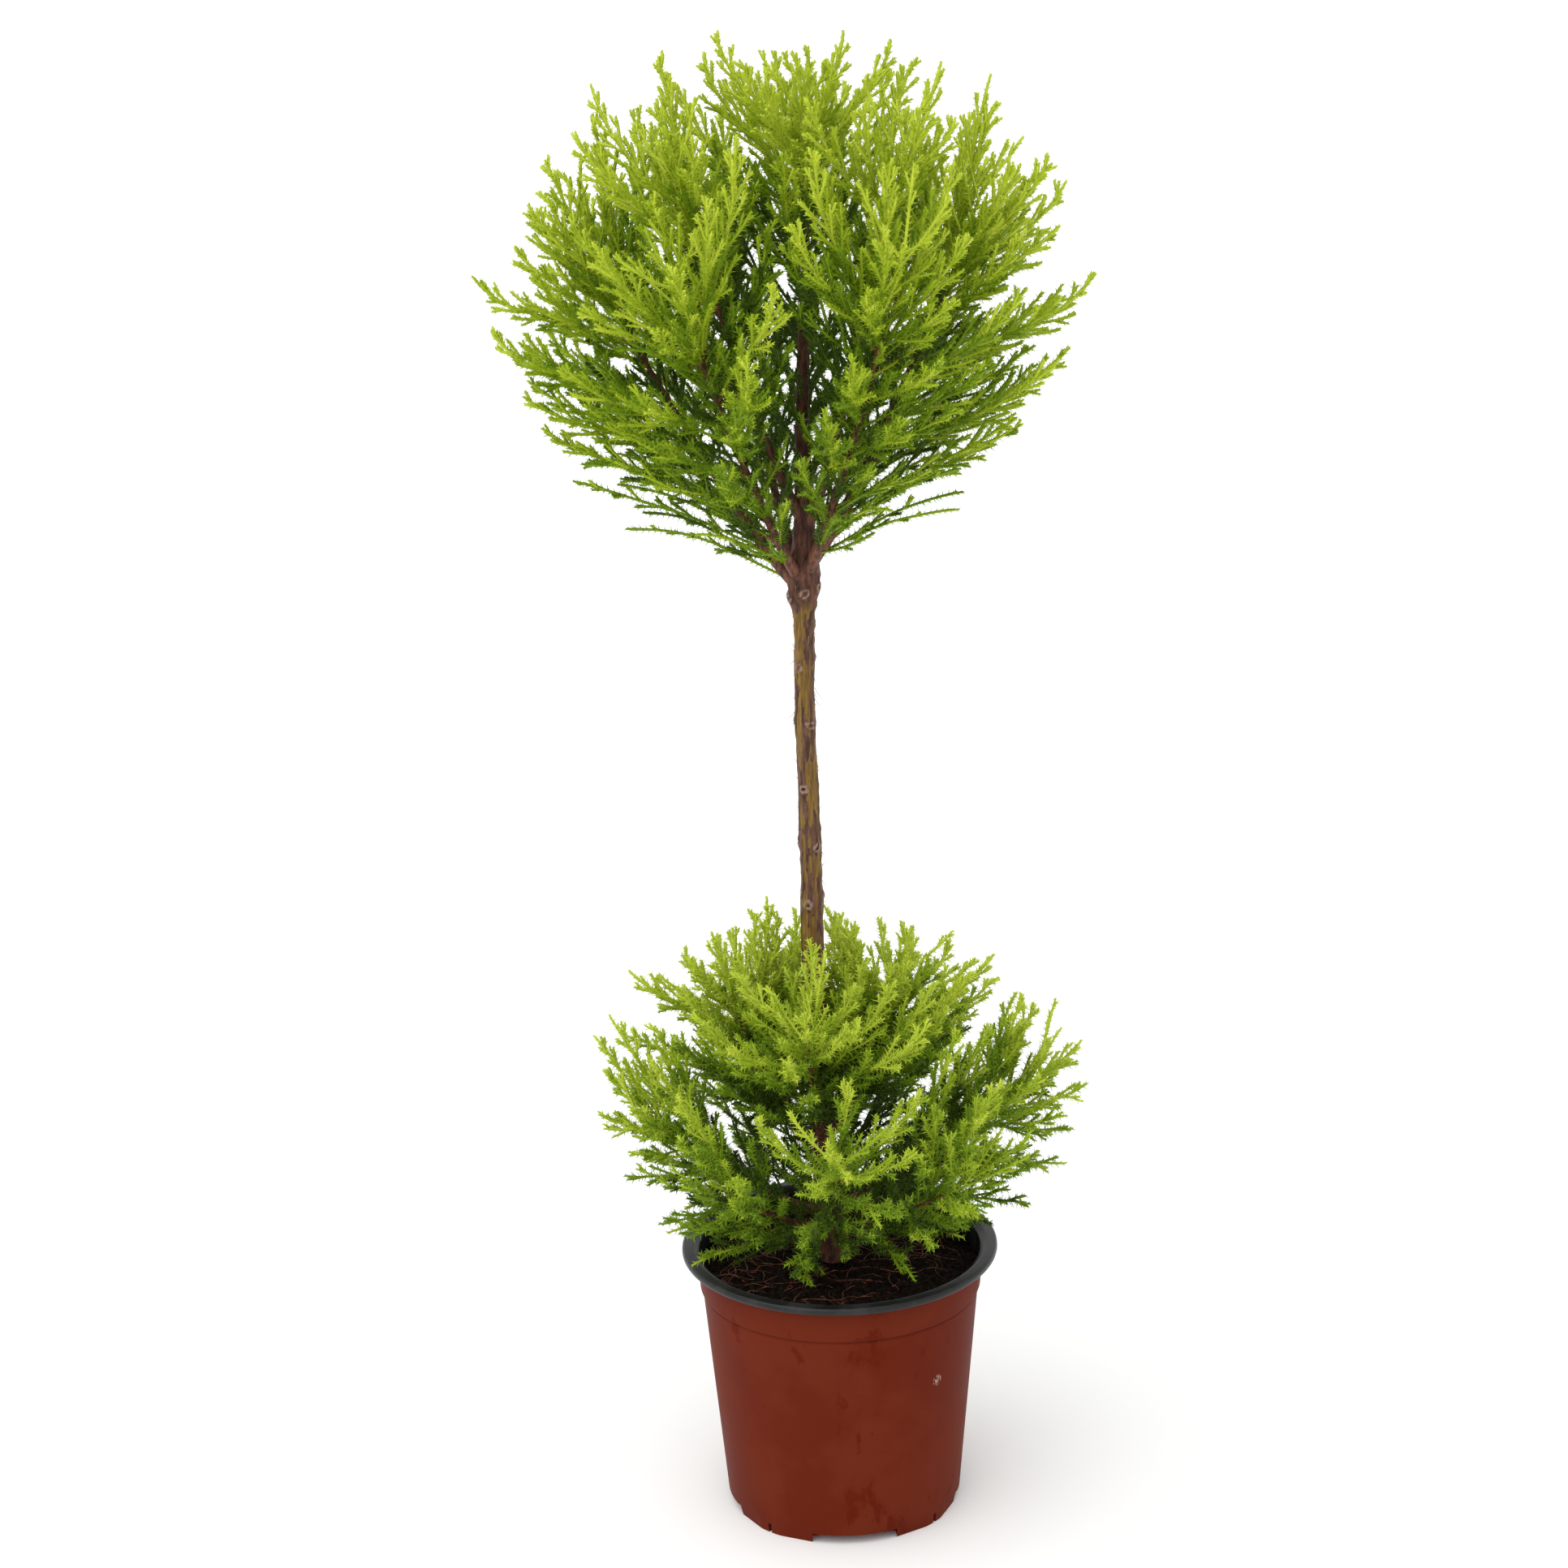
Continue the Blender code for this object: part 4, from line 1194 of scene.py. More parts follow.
def make_crumbs(soil, name, tree, density, smallest, largest, material):
    crumbs = grown(
        add_object(name, soil.data.copy()),
        tree,
        {"Density": density, "Smallest": smallest, "Largest": largest, "Seed": SEED, "Material": material},
    )
    crumbs.data.shade_smooth()
    return crumbs


def make_rootlets(tree, material, rand):
    """Wiry roots that lie over the compost and arch here and there."""
    roots = Twigs()
    for _ in range(ROOTLETS):
        place = Vector((SOIL_EDGE, 0.0)) * math.sqrt(rand.uniform(*ROOTLET_AREA))
        place.rotate(Matrix.Rotation(rand.uniform(0, math.tau), 2))
        heading = rand.uniform(0, math.tau)
        length = rand.uniform(*ROOTLET_LENGTH)
        arch = rand.uniform(0.0, ROOTLET_ARCH)
        thick = rand.uniform(*ROOTLET_RADIUS)
        points = []
        for i in range(ROOTLET_STEPS + 1):
            lift = arch * math.sin(math.pi * i / ROOTLET_STEPS) + thick
            points.append(Vector((place.x, place.y, soil_height(place.x, place.y) + lift)))
            heading += rand.uniform(-ROOTLET_TURN, ROOTLET_TURN)
            ahead = place + Vector((math.cos(heading), math.sin(heading))) * length / ROOTLET_STEPS
            if ahead.length > ROOTLET_EDGE * SOIL_EDGE:
                heading += math.pi / 2
                ahead = place * 0.97
            place = ahead
        roots.add(points, [thick * (1 - ROOTLET_TAPER * i / ROOTLET_STEPS) for i in range(ROOTLET_STEPS + 1)])
    rootlets = grown(roots.skeleton("rootlets"), tree, {"Sides": ROOTLET_SIDES, "Material": material})
    rootlets.data.shade_smooth()
    return rootlets


# Limbs

def segment_gap(point, start, end):
    """The distance from a point to a segment, and how far along the segment it is nearest."""
    along = end - start
    share = (point - start).dot(along) / along.length_squared
    share = min(1.0, max(0.0, share))
    return (point - start - along * share).length, share


class Limb:
    """A trunk or bough: its middle line and its radius at each point."""

    def __init__(self, points, radii):
        self.points = points
        self.radii = radii

    def gap(self, point):
        """How far the point is outside the bark."""
        best = math.inf
        for i in range(len(self.points) - 1):
            distance, share = segment_gap(point, self.points[i], self.points[i + 1])
            radius = self.radii[i] + (self.radii[i + 1] - self.radii[i]) * share
            best = min(best, distance - radius)
        return best

    def at_height(self, height):
        for a, b in zip(self.points, self.points[1:]):
            if a.z <= height <= b.z:
                return a.lerp(b, (height - a.z) / (b.z - a.z))
        return self.points[-1].copy()

    def radius_at(self, height):
        return float(np.interp(height, [point.z for point in self.points], self.radii))


def heading_of(turn, rise):
    return Vector((math.cos(rise) * math.cos(turn), math.cos(rise) * math.sin(turn), math.sin(rise)))


def bough_limb(trunk, row):
    """A limb that leaves the trunk and lifts steadily, from its row of named sizes."""
    height, turn, rise_foot, rise_tip, length, radius = row
    turn = math.radians(turn)
    points = [trunk.at_height(height)]
    for i in range(BOUGH_STEPS):
        share = (i + 0.5) / BOUGH_STEPS
        rise = math.radians(rise_foot + (rise_tip - rise_foot) * share)
        points.append(points[-1] + heading_of(turn, rise) * length / BOUGH_STEPS)
    radii = [radius * (1 - BOUGH_TAPER * i / BOUGH_STEPS) for i in range(BOUGH_STEPS + 1)]
    return Limb(points, radii)


class Line:
    """A path that can be asked for its place and heading at any distance."""

    def __init__(self, points):
        self.points = points
        self.places = [0.0]
        for a, b in zip(points, points[1:]):
            self.places.append(self.places[-1] + (b - a).length)
        self.length = self.places[-1]

    def at(self, distance):
        first = min(max(bisect_right(self.places, distance) - 1, 0), len(self.points) - 2)
        start, end = self.points[first], self.points[first + 1]
        share = (distance - self.places[first]) / max(self.places[first + 1] - self.places[first], 1e-9)
        return start.lerp(end, share), (end - start).normalized()

    def cut(self, start, end, steps):
        """The stretch from one distance to another, as evenly spaced points."""
        return [self.at(start + (end - start) * i / steps)[0] for i in range(steps + 1)]


def smoothed_line(points, radii, gap):
    """A limb's middle line and radius at every gap along it, eased at its bends."""
    line = Line(points)
    count = max(3, int(line.length / gap))
    places = np.linspace(0.0, line.length, count + 1)
    columns = []
    for values in ([p.x for p in points], [p.y for p in points], [p.z for p in points], radii):
        column = np.interp(places, line.places, values)
        padded = np.concatenate(([column[0]] * 3, column, [column[-1]] * 3))
        eased = np.convolve(padded, np.ones(7) / 7, mode="valid")
        eased[0], eased[-1] = column[0], column[-1]
        columns.append(eased)
    middles = [Vector(spot) for spot in zip(*columns[:3])]
    return middles, columns[3]


def bark_relief(point, turn, height, radius):
    """How far the bark stands out here, and how flaky it is: long strips with broken edges."""
    around = Vector((math.cos(turn), math.sin(turn), 0)) * radius
    strips = noise.noise(Vector((around.x * 330, around.y * 330, height * 34 + point.x * 3)))
    broken = noise.noise(Vector((around.x * 620, around.y * 620, height * 150)))
    fine = noise.noise(Vector((around.x * 900, around.y * 900, height * 300)))
    flake = strips + 0.45 * broken
    raised = 1.0 if flake > 0.12 else max(0.0, (flake - 0.02) / 0.10)
    return 0.00030 * raised - 0.00015 + 0.00026 * strips + 0.00012 * fine, raised


def scar_relief(turn, height, radius, scars):
    """The raised ring of a cut side shoot round its dark, sunken middle."""
    raised, ring, hollow = 0.0, 0.0, 0.0
    for scar_height, scar_turn, width in scars:
        rise = height - scar_height
        if abs(rise) > 3 * width:
            continue
        aside = (turn - math.radians(scar_turn) + math.pi) % (2 * math.pi) - math.pi
        ragged = 1 + 0.45 * noise.noise(Vector((aside * radius, rise, scar_height)) * 900)
        away = math.hypot(rise, aside * radius) / width * ragged
        swelling = 0.62 * width * math.exp(-((away / 0.85) ** 2))
        raised += swelling - 0.75 * width * math.exp(-((away / 0.33) ** 2))
        ring = max(ring, math.exp(-(((away - 0.62) / 0.26) ** 2)))
        hollow = max(hollow, math.exp(-((away / 0.36) ** 2)))
    return raised, ring, hollow


def bark_mesh(name, limbs, sides, material, scars=(), lumps=0.0):
    """Tubes with the bark's relief, one for each limb, closed at both ends."""
    points, faces, flakes, rings, hollows = [], [], [], [], []
    for limb in limbs:
        middles, radii = smoothed_line(limb.points, limb.radii, BARK_STEP)
        across = (middles[1] - middles[0]).orthogonal().normalized()
        if abs((middles[1] - middles[0]).normalized().z) > 0.9:
            across = Vector((1, 0, 0))
        first = len(points)
        count = len(middles)
        for i, middle in enumerate(middles):
            tangent = (middles[min(i + 1, count - 1)] - middles[max(i - 1, 0)]).normalized()
            across = (across - tangent * across.dot(tangent)).normalized()
            third = tangent.cross(across)
            for j in range(sides):
                turn = 2 * math.pi * j / sides
                outward = across * math.cos(turn) + third * math.sin(turn)
                height = middle.z if scars else i * BARK_STEP
                relief, flake = bark_relief(middle, turn, height, radii[i])
                raised, ring, hollow = scar_relief(turn, height, radii[i], scars)
                swell = lumps * noise.noise((middle + outward * radii[i]) * 150)
                if scars:
                    knobbly = math.exp(-(((height - FORK_HEIGHT) / FORK_SPREAD) ** 2))
                    swell += FORK_LUMPS * knobbly * noise.noise((middle + outward * radii[i]) * 210)
                thin = min(1.0, radii[i] / 0.006)
                points.append(middle + outward * (radii[i] + (relief + swell) * thin + raised))
                flakes.append(flake)
                rings.append(ring)
                hollows.append(hollow)
        for i in range(count - 1):
            for j in range(sides):
                a = first + i * sides + j
                b = first + i * sides + (j + 1) % sides
                faces.append((a, b, b + sides, a + sides))
        last = first + (count - 1) * sides
        faces.append([first + j for j in reversed(range(sides))])
        faces.append([last + j for j in range(sides)])
    mesh = bpy.data.meshes.new(name)
    mesh.from_pydata(points, [], faces)
    for label, values in (("flake", flakes), ("scar", rings), ("hollow", hollows)):
        mesh.attributes.new(label, "FLOAT", "POINT").data.foreach_set("value", values)
    mesh.materials.append(material)
    obj = add_object(name, mesh)
    smooth(obj, 70)
    return obj


def make_fibres(trunk, tree, material, rand):
    """Torn bark: thin curling shreds at the scars and here and there on the bare stem."""
    shreds = Twigs()
    rows = list(SHREDS)
    for _ in range(SHRED_COUNT):
        rows.append(
            (
                rand.uniform(*SHRED_HEIGHTS),
                rand.uniform(0, 360),
                rand.uniform(*SHRED_LENGTH),
                rand.choice((-1, -1, 1)),
            )
        )
    for height, turn, length, way in rows:
        middle = trunk.at_height(height)
        radius = trunk.radius_at(height)
        outward = heading_of(math.radians(turn), 0.0)
        sideways = Vector((-outward.y, outward.x, 0)) * rand.uniform(-SHRED_SIDEWAYS, SHRED_SIDEWAYS)
        heading = (outward * 0.30 + sideways * 0.5 + Vector((0, 0, way))).normalized()
        curl = outward * rand.uniform(*SHRED_CURL) - sideways * rand.uniform(0, 0.5)
        points = [middle + outward * radius * SHRED_SEAT]
        for _ in range(SHRED_STEPS):
            heading = (heading + curl + Vector((0, 0, rand.uniform(*SHRED_SAG)))).normalized()
            points.append(points[-1] + heading * length / SHRED_STEPS)
            curl = curl * SHRED_EASES
        thick = rand.uniform(*SHRED_RADIUS)
        shreds.add(points, [thick * (1 - SHRED_TAPER * i / SHRED_STEPS) for i in range(SHRED_STEPS + 1)])
    return grown(shreds.skeleton("torn_bark"), tree, {"Sides": TWIG_SIDES, "Material": material})


# Space that the foliage keeps to

def outline(angle, reach):
    """The front outline's reach at an angle from the right-hand side, eased between its points."""
    place = (angle / (2 * math.pi) * len(reach)) % len(reach)
    first = int(place)
    share = place - first
    share = share * share * (3 - 2 * share)
    return reach[first] * (1 - share) + reach[(first + 1) % len(reach)] * share


def reach_at(direction, reach):
    """How far the foliage goes this way: the left and right outlines, blended round the sides."""
    level = math.hypot(direction.x, direction.y)
    rise = math.atan2(direction.z, level)
    share = 0.5 + 0.5 * direction.x / max(level, 0.000001)
    side = outline(math.pi - rise, reach) * (1 - share) + outline(rise, reach) * share
    return side * (1 + LOBE_DEPTH * noise.noise(direction * LOBE_SCALE))


class Mass:
    """One mass of foliage: the limb that carries it, and its guide line out to the reach."""

    def __init__(self, limb, middle, reach, lift):
        self.limb = limb
        self.middle = middle
        self.reach = reach
        self.lift = lift
        self.root = limb.points[-1]
        self.heading = (limb.points[-1] - limb.points[-2]).normalized()
        self.guide = self.guide_line()
        self.spine = limb.points[-BOUGH_STEPS - 1 :] + self.guide[1:]
        self.line = Line(self.spine)
        self.targets = []

    def guide_line(self):
        """From the limb's tip outward, lifting a little, to four fifths of the reach."""
        points = [self.root]
        heading = self.heading
        for i in range(GUIDE_STEPS):
            points.append(points[-1] + heading * GUIDE_STEP)
            outward = points[-1] - self.middle
            full = outward.length > GUIDE_SHARE * reach_at(outward.normalized(), self.reach)
            if i + 1 >= GUIDE_FEWEST and full and outward.dot(heading) > 0:
                break
            heading = (heading + Vector((0, 0, GUIDE_LIFT))).normalized()
        return points

    def distance(self, point):
        return min(segment_gap(point, a, b)[0] for a, b in zip(self.spine, self.spine[1:]))

    def stem(self):
        """The mass's own stem, which carries the limb on, thinner and thinner."""
        end = int(STEM_SHARE * (len(self.guide) - 1)) + 1
        points = self.limb.points + self.guide[1 : end + 1]
        foot = self.limb.radii[-1]
        radii = list(self.limb.radii) + [foot * (1 - 0.6 * (i + 1) / end) for i in range(end)]
        return Limb(points, radii)


def clear_of_pot(point):
    flat = math.hypot(point.x, point.y)
    inside_rim = flat < COLLAR_LOW_RADIUS - SHEET - POT_CLEARANCE
    floor = SOIL_HEIGHT if inside_rim else POT_HEIGHT
    return flat > RIM_RADIUS + POT_CLEARANCE or point.z > floor + POT_CLEARANCE


# Shoots

def shoot_path(mass, target, rand):
    """A curve that leaves the mass's stem slanting forward and arrives at its target pointing out."""
    axis = (mass.guide[-1] - mass.root).normalized()
    straight = target - mass.root
    along = straight.dot(axis)
    aside = straight - axis * along
    back = mass.line.length - (mass.guide[-1] - mass.root).length
    wanted = back + along - aside.length / math.tan(SHOOT_ANGLE)
    furthest = back + FURTHEST_START * (mass.line.length - back)
    nearest = NEAREST_START + (rand.uniform(0, START_SPREAD) if wanted < NEAREST_START else 0.0)
    start, heading = mass.line.at(min(furthest, max(nearest, wanted)))
    span = (target - start).length
    direct = (target - start).normalized()
    leave = (direct * (1 - LEAVE_FORWARD) + heading * LEAVE_FORWARD).normalized()
    outward = (target - mass.middle).normalized()
    high, low = LIFT_FALLS
    level = min(1.0, max(0.0, (outward.z - low) / (high - low)))
    lift = mass.lift * (LOW_LIFT + (1 - LOW_LIFT) * level)
    arrive = (outward + direct + Vector((0, 0, lift))).normalized()
    first = start + leave * span * LEAVE_HANDLE
    second = target - arrive * span * ARRIVE_HANDLE
    phase = Vector((rand.uniform(0, 99), rand.uniform(0, 99), rand.uniform(0, 99)))
    points = []
    for i in range(SHOOT_STEPS + 1):
        share = i / SHOOT_STEPS
        rest = 1 - share
        wander = noise.noise_vector(phase + Vector((share * WANDER_TURNS, 0, 0))) * SHOOT_WANDER * share
        points.append(
            start * rest**3
            + first * 3 * rest**2 * share
            + second * 3 * rest * share**2
            + target * share**3
            + wander
        )
    return points


def fitted_shoot(mass, target, limbs, rand):
    """The shoot to this target, drawn in towards the mass's guide until it is clear of pot and limbs."""
    reach = (target - mass.middle).length
    for pull in PULLS:
        aim = target.lerp(mass.guide[-1], pull) - mass.middle
        aim = mass.middle + aim.normalized() * reach * (1 - PULL_SHORTENS * pull)
        points = shoot_path(mass, aim, rand)
        outer = points[3:]
        if all(clear_of_pot(point) for point in outer) and all(
            limb.gap(point) > LIMB_CLEARANCE for limb in limbs for point in outer
        ):
            return points
    return None


class Twigs:
    """Twigs of one colour, as lines with a thickness, needle sizes and a needle lean at each point."""

    def __init__(self):
        self.points = []
        self.edges = []
        self.values = {"thickness": [], "needle_length": [], "needle_width": [], "needle_lean": []}
        self.length = 0.0
        self.lines = 0

    def add(self, points, thickness, needle_length=None, needle_width=None, lean=None):
        first = len(self.points)
        self.points.extend(points)
        self.edges.extend((first + i, first + i + 1) for i in range(len(points) - 1))
        none = [0.0] * len(points)
        self.values["thickness"].extend(thickness)
        self.values["needle_length"].extend(needle_length or none)
        self.values["needle_width"].extend(needle_width or none)
        self.values["needle_lean"].extend(lean or none)
        self.length += sum((b - a).length for a, b in zip(points, points[1:]))
        self.lines += 1

    def skeleton(self, name):
        mesh = bpy.data.meshes.new(name)
        mesh.from_pydata(self.points, self.edges, [])
        for label, values in self.values.items():
            mesh.attributes.new(label, "FLOAT", "POINT").data.foreach_set("value", values)
        return add_object(name, mesh)


class Tier:
    """The foliage of the crown or of the ball: its masses, and its twigs sorted by tint."""

    def __init__(self, word, rows, middle, reach, lift, shoots, tips, leafage, low, high):
        self.word = word
        self.lift = lift
        self.rows = rows
        self.middle = middle
        self.reach = reach
        self.shoots = shoots
        self.tips = tips
        self.leafage = leafage
        self.low = low
        self.high = high
        self.masses = []
        self.twigs = {tint: Twigs() for tint in TINTS}
        self.wood = Twigs()

    def depth(self, point):
        """0 at the middle, 1 at the reach."""
        outward = point - self.middle
        return outward.length / reach_at(outward.normalized(), self.reach)

    def height(self, point):
        return (point.z - self.low) / (self.high - self.low)

    def looseness(self, point):
        """0 where needles press close, at the top and the outside, and 1 where they stand off."""
        fall = LOOSE_FALL * self.depth(point) * (LOW_FALL + self.height(point))
        return min(1.0, max(0.0, LOOSEST - fall))

    def tint(self, point, rand):
        # Painted light and shade: the tint is darker deep inside and low down, where shade falls, and lighter
        # at the top and the outside
        light = LIGHT_BY_DEPTH * self.depth(point) + LIGHT_BY_HEIGHT * self.height(point)
        light += rand.uniform(-LIGHT_SPREAD, LIGHT_SPREAD)
        return TINTS[bisect_right(TINT_LIMITS, light)]

    def add_twig(self, points, tint, size=1.0):
        """One green twig, plump along its middle, its needles closing up at the tip."""
        leafage = self.leafage
        loose = self.looseness(points[-1])
        core = (leafage.core_tight + (leafage.core_loose - leafage.core_tight) * loose) * size
        long = leafage.long_tight + (leafage.long_loose - leafage.long_tight) * loose
        lean = leafage.lean_tight + (leafage.lean_loose - leafage.lean_tight) * loose
        before = [1.0] * (len(points) - 2)
        self.twigs[tint].add(
            points,
            [core * value for value in before + [CLUB, CLUB_END]],
            [long * value for value in before + [1.0, TIP_NEEDLE]],
            [leafage.width] * len(points),
            [lean * value for value in before + [NEAR_TIP_LEAN, TIP_LEAN]],
        )


def side_path(start, parent, turn, growth, length, lift):
    """A side twig that leaves at an angle and bends forward and up."""
    across = parent.orthogonal().normalized()
    across.rotate(Quaternion(parent, turn))
    heading = parent * math.cos(growth.angle) + across * math.sin(growth.angle)
    points = [start]
    for _ in range(growth.steps):
        heading = (heading + parent * SIDE_BEND / growth.steps * 2 + Vector((0, 0, lift))).normalized()
        points.append(points[-1] + heading * length / growth.steps)
    return points


def side_lengths(line, growth, share, vigour, rand):
    """Distances from the tip, and lengths, of the side twigs of a line."""
    place = FIRST_SIDE
    while place < line.length * share:
        length = min(growth.longest, growth.shortest + growth.gain * place) * vigour
        yield place, length * rand.uniform(*SIDE_LENGTHS)
        place += growth.gap * rand.uniform(*SIDE_GAPS) / max(vigour, LEAST_VIGOUR)


def grow_spray(tier, path, rand):
    """A side spray with its branchlets, all of one tint."""
    line = Line(path)
    tint = tier.tint(path[-1], rand)
    tier.add_twig(path, tint)
    turn = rand.uniform(0, 2 * math.pi)
    for place, length in side_lengths(line, BRANCHLETS, BRANCHLET_SHARE, 1.0, rand):
        turn += GOLDEN_TURN
        start, heading = line.at(line.length - place)
        tip = side_path(start, heading, turn, BRANCHLETS, length, SIDE_LIFT / 2)
        if clear_of_pot(tip[-1]):
            tier.add_twig(tip, tint, BRANCHLET_SIZE)


def has_room(tier, tip, limbs):
    """Whether a side spray may end here: inside the reach, off the pot and off the bark."""
    if tier.depth(tip) > OVERREACH or not clear_of_pot(tip):
        return False
    return all(limb.gap(tip) >= LIMB_CLEARANCE for limb in limbs)


def vigour_of(tier, point):
    """Full side growth, except on the low whips under the crown."""
    if tier.word == "ball":
        return 1.0
    fall = (point - tier.middle).normalized().z
    share = min(1.0, max(0.0, (fall - WHIP_BELOW) / (WHIP_ABOVE - WHIP_BELOW)))
    return WHIP_SHARE + (1 - WHIP_SHARE) * share


def grow_shoot(tier, path, limbs, rand):
    """A shoot: woody at its foot, green beyond, with a plume of side sprays."""
    line = Line(path)
    green = line.length * (1 - GREEN_SHARE)
    foot = line.cut(0.0, green, FOOT_STEPS)
    tier.wood.add(foot, [FOOT_RADIUS - FOOT_TAPER * i / FOOT_STEPS for i in range(FOOT_STEPS + 1)])
    half = (green + line.length) / 2
    inner = line.cut(green * INNER_OVERLAP, half, INNER_STEPS)
    outer = line.cut(half * OUTER_OVERLAP, line.length, OUTER_STEPS)
    tier.add_twig(inner, tier.tint(inner[-1], rand))
    tier.add_twig(outer, tier.tint(outer[-1], rand))
    vigour = vigour_of(tier, path[-1])
    turn = rand.uniform(0, 2 * math.pi)
    for place, length in side_lengths(line, SPRAYS, PLUME_SHARE, vigour, rand):
        turn += GOLDEN_TURN
        start, heading = line.at(line.length - place)
        spray = side_path(start, heading, turn, SPRAYS, length, SIDE_LIFT)
        if has_room(tier, spray[-1], limbs):
            grow_spray(tier, spray, rand)


def clothe_stem(tier, mass, limbs, rand):
    """Short leafy sprays straight off the bough, from just past its foot to near the guide's end."""
    place = INNER_FROM
    turn = rand.uniform(0, math.tau)
    growth = SPRAYS._replace(angle=INNER_ANGLE)
    while place < STEM_CLOTHED * mass.line.length:
        turn += GOLDEN_TURN
        start, heading = mass.line.at(place)
        spray = side_path(start, heading, turn, growth, rand.uniform(*INNER_LENGTH), SIDE_LIFT)
        place += INNER_GAP
        if has_room(tier, spray[-1], limbs):
            grow_spray(tier, spray, rand)


def spread_targets(tier, rand):
    """Points spread evenly over the reach, each given to the mass whose spine is nearest."""
    for i in range(tier.shoots):
        rise = 1 - 2 * (i + 0.5) / tier.shoots
        level = math.sqrt(1 - rise * rise)
        turn = i * GOLDEN_TURN
        direction = Vector((level * math.cos(turn), level * math.sin(turn), rise))
        spread = INNER_SPREAD if i % INNER_EVERY == 0 else REACH_SPREAD
        target = tier.middle + direction * reach_at(direction, tier.reach) * rand.uniform(*spread)
        nearest = min(tier.masses, key=lambda mass: mass.distance(target))
        nearest.targets.append(target)
    for tip in tier.tips:
        target = Vector(tip)
        nearest = min(tier.masses, key=lambda mass: mass.distance(target))
        nearest.targets.append(target)


def grow_tier(tier, limbs, rand):
    spread_targets(tier, rand)
    for mass in tier.masses:
        for target in mass.targets:
            path = fitted_shoot(mass, target, limbs, rand)
            if path:
                grow_shoot(tier, path, limbs, rand)
        clothe_stem(tier, mass, limbs, rand)


def split_twigs(twigs, parts):
    """The same twigs dealt out into a few sets of like size, whole lines at a time."""
    if parts == 1:
        return [twigs]
    lines = []
    start = 0
    ends = {b for _, b in twigs.edges}
    for i in range(1, len(twigs.points) + 1):
        if i == len(twigs.points) or i not in ends:
            lines.append((start, i))
            start = i
    shared = [Twigs() for _ in range(parts)]
    for number, (first, end) in enumerate(lines):
        shared[number * parts // len(lines)].add(
            twigs.points[first:end], *(values[first:end] for values in twigs.values.values())
        )
    return shared


# Painted light and shade: the darker tints stand for the shaded inside and underside of the foliage, the
# lighter ones for its lit top and outside, over the plant's own yellower outer growth
LEAF_COLOURS = {
    # tint: deep and pale side of the mottle, crown then ball
    "deep": ((0.044, 0.090, 0.002), (0.076, 0.138, 0.004), (0.036, 0.072, 0.003), (0.066, 0.116, 0.005)),
    "mid": ((0.160, 0.268, 0.005), (0.228, 0.352, 0.008), (0.150, 0.252, 0.007), (0.215, 0.335, 0.012)),
    "fresh_and_lit": ((0.330, 0.455, 0.014), (0.405, 0.525, 0.022), (0.325, 0.450, 0.020), (0.400, 0.520, 0.030)),
    "lime": ((0.460, 0.575, 0.032), (0.560, 0.660, 0.050), (0.450, 0.565, 0.040), (0.550, 0.650, 0.060)),
}


def make_foliage(tier, trees, mottle, nodes):
    """The tier's twigs and needles as plain meshes, each tint and kind apart."""
    twig_maker, needle_maker = trees
    pieces = []
    for tint, twigs in tier.twigs.items():
        shades = LEAF_COLOURS[tint][:2] if tier.word == "crown" else LEAF_COLOURS[tint][2:]
        material = leaf_finish(f"{tier.word}_{tint}_foliage", mottle, *shades)
        faces = NEEDLE_FACES * (twigs.length / tier.leafage.gap + twigs.lines)
        parts = max(1, math.ceil(faces / PIECE_LIMIT))
        for number, share in enumerate(split_twigs(twigs, parts)):
            tail = f"_{number + 1}" if parts > 1 else ""
            needles = grown(
                share.skeleton(f"{tier.word}_{tint}_needles{tail}"),
                needle_maker,
                {
                    "Needle Gap": tier.leafage.gap,
                    "Needle Turn": NEEDLE_TURN,
                    "Unevenness": NEEDLE_UNEVENNESS,
                    "Seed": SEED + number,
                    "Material": material,
                },
            )
            pieces.append(needles)
        cores = grown(
            twigs.skeleton(f"{tier.word}_{tint}_twigs"),
            twig_maker,
            {"Sides": TWIG_SIDES, "Material": material},
        )
        cores.data.shade_smooth()
        pieces.append(cores)
    wood = grown(
        tier.wood.skeleton(f"{tier.word}_woody_twigs"),
        twig_maker,
        {"Sides": WOOD_SIDES, "Material": wood_finish(f"{tier.word}_wood", mottle)},
    )
    wood.data.shade_smooth()
    for piece in pieces:
        keep(piece, "foliage", *nodes)
    keep(wood, "bark", *nodes)


def keep(piece, slot, *nodes):
    """Gives a finished piece its body and hides the frame's solids that it stands for; its slot is not used.
    """
    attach(piece, "root")
    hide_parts(*nodes)


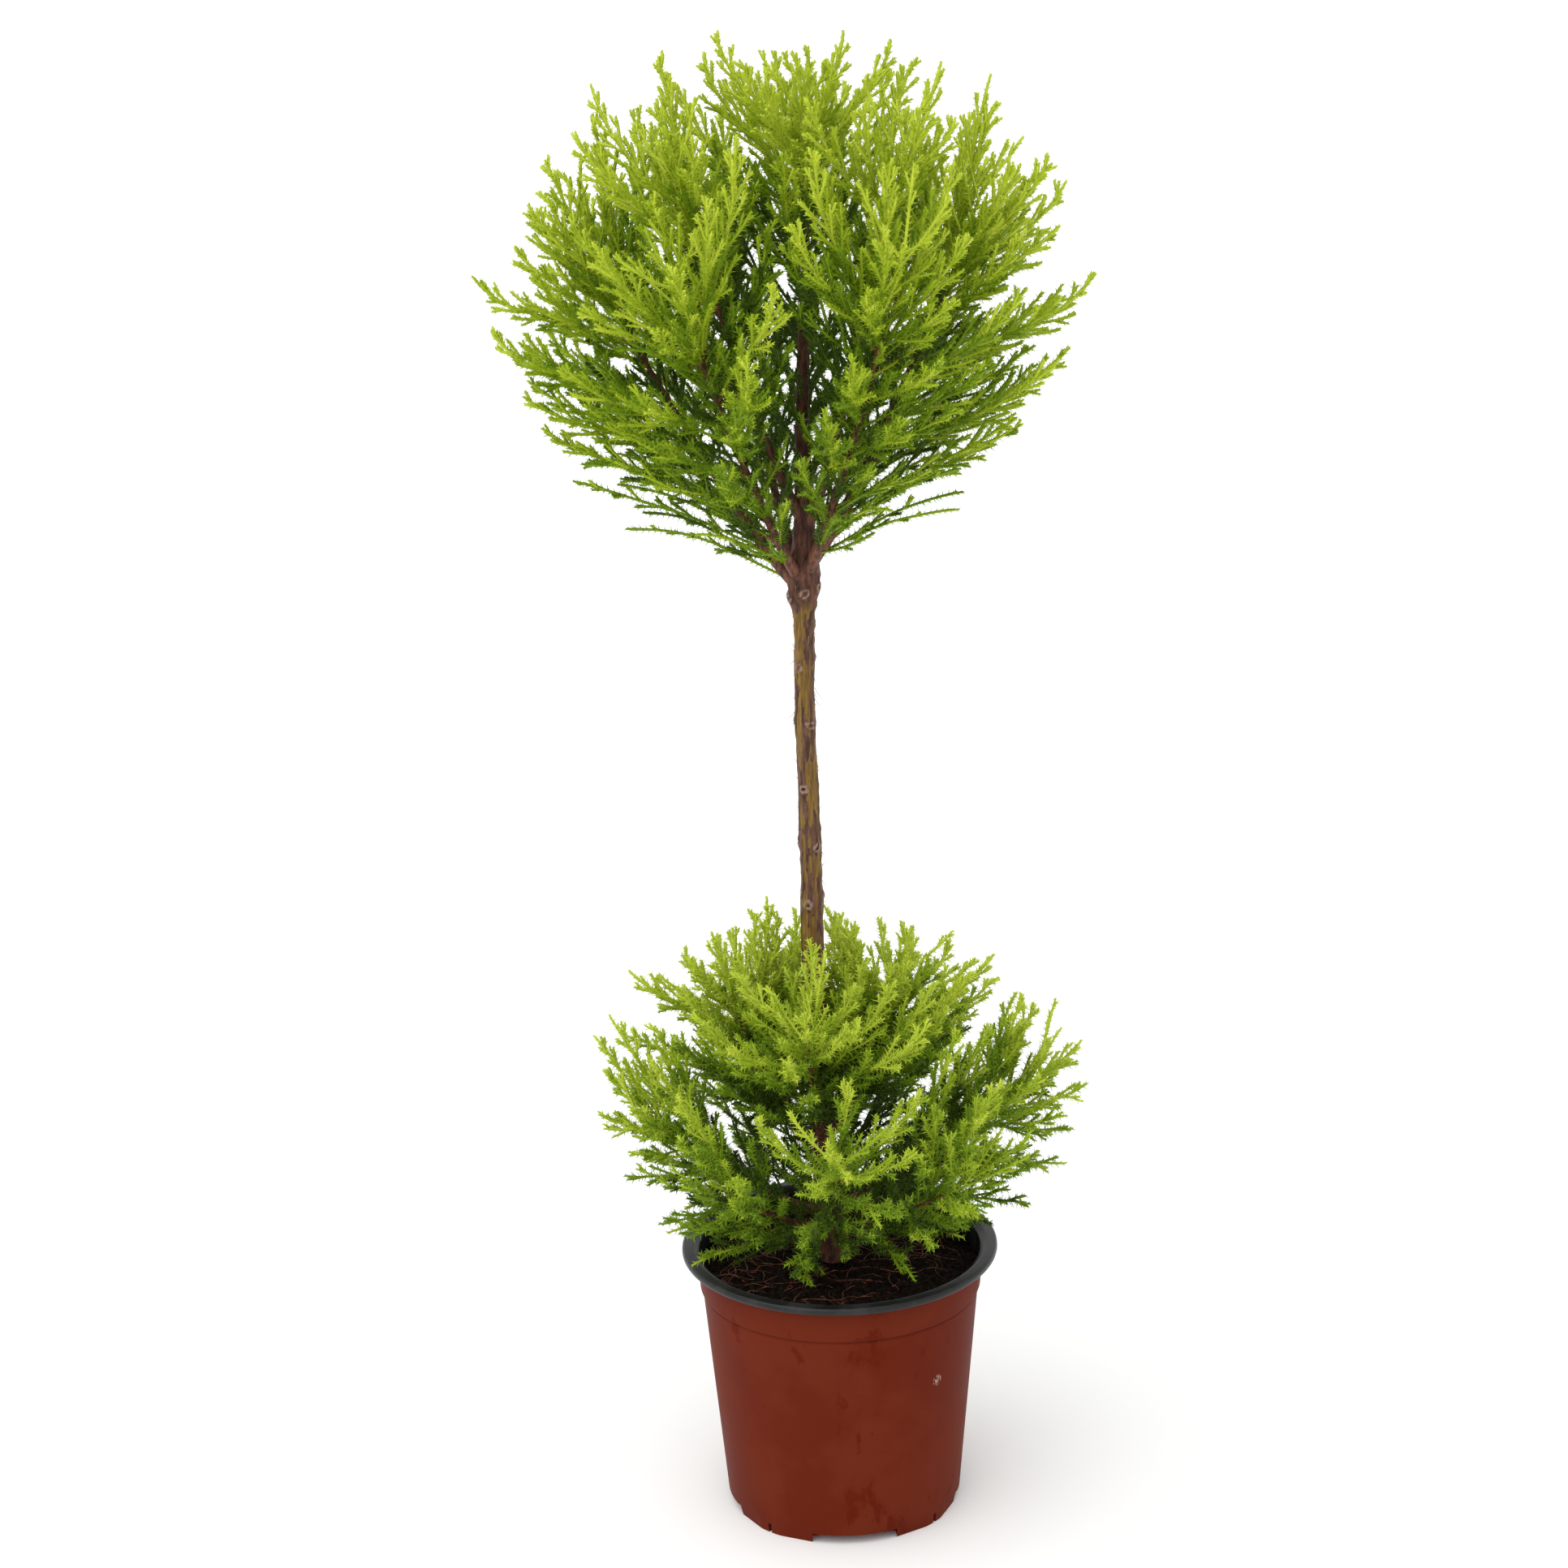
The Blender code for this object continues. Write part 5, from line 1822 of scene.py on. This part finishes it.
def main():
    mottle = mottle_group()
    make_camera()
    make_studio(mottle)
    for piece in make_pot(mottle):
        keep(piece, "pot_plastic", "pot")
    rand = random.Random(SEED)
    trees = (twig_tree(), needle_tree())
    soil = make_soil(mottle)
    crumb_maker = crumb_tree()
    crumb = compost_finish("compost_crumbs", mottle, (0.0060, 0.0036, 0.0024), (0.036, 0.0185, 0.0110))
    speck = compost_finish("pale_grit", mottle, (0.120, 0.105, 0.085), (0.420, 0.390, 0.340))
    root = fibre_finish("dry_rootlets", mottle, (0.075, 0.020, 0.009), (0.300, 0.095, 0.042))
    for piece in (
        soil,
        make_crumbs(soil, "compost_crumbs", crumb_maker, CRUMB_DENSITY, *CRUMB_RADII, crumb),
        make_crumbs(soil, "compost_clods", crumb_maker, CLOD_DENSITY, *CLOD_RADII, crumb),
        make_crumbs(soil, "pale_grit", crumb_maker, SPECK_DENSITY, *SPECK_RADII, speck),
        make_rootlets(trees[0], root, rand),
    ):
        keep(piece, "compost", "soil")

    trunk = Limb(
        [Vector((x, y, height)) for height, x, y, _ in TRUNK_POINTS],
        [radius for *_, radius in TRUNK_POINTS],
    )
    crown = Tier(
        "crown",
        CROWN_BOUGHS,
        CROWN_MIDDLE,
        CROWN_REACH,
        CROWN_LIFT,
        CROWN_SHOOTS,
        CROWN_TIPS + CROWN_FACE,
        CROWN_LEAFAGE,
        *CROWN_HEIGHTS,
    )
    ball = Tier(
        "ball",
        BALL_BOUGHS,
        BALL_MIDDLE,
        BALL_REACH,
        BALL_LIFT,
        BALL_SHOOTS,
        BALL_TIPS + BALL_FACE,
        BALL_LEAFAGE,
        *BALL_HEIGHTS,
    )
    tiers = (crown, ball)
    for tier in tiers:
        for row in tier.rows:
            tier.masses.append(Mass(bough_limb(trunk, row), tier.middle, tier.reach, tier.lift))
    limbs = [trunk] + [mass.limb for tier in tiers for mass in tier.masses]
    keep(bark_mesh("trunk_bark", [trunk], TRUNK_SIDES, trunk_finish(mottle), SCARS, 0.0004), "bark", "trunk")
    shred = fibre_finish("torn_bark", mottle, (0.090, 0.050, 0.034), (0.420, 0.310, 0.240))
    keep(make_fibres(trunk, trees[0], shred, rand), "bark", "trunk")
    bark = bough_finish(mottle)
    for tier in tiers:
        stems = [mass.stem() for mass in tier.masses]
        names = [f"{tier.word}_bough_{i + 1}" for i in range(len(stems))]
        keep(bark_mesh(f"{tier.word}_boughs_bark", stems, BOUGH_SIDES, bark), "bark", *names)
    crown.masses.append(Mass(trunk, CROWN_MIDDLE, CROWN_REACH, CROWN_LIFT))

    for tier in tiers:
        grow_tier(tier, limbs, rand)
        nodes = [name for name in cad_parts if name.startswith(tier.word) and name.endswith("mass")]
        nodes += [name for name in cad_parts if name.startswith(f"{tier.word}_mass")]
        make_foliage(tier, trees, mottle, nodes)


main()
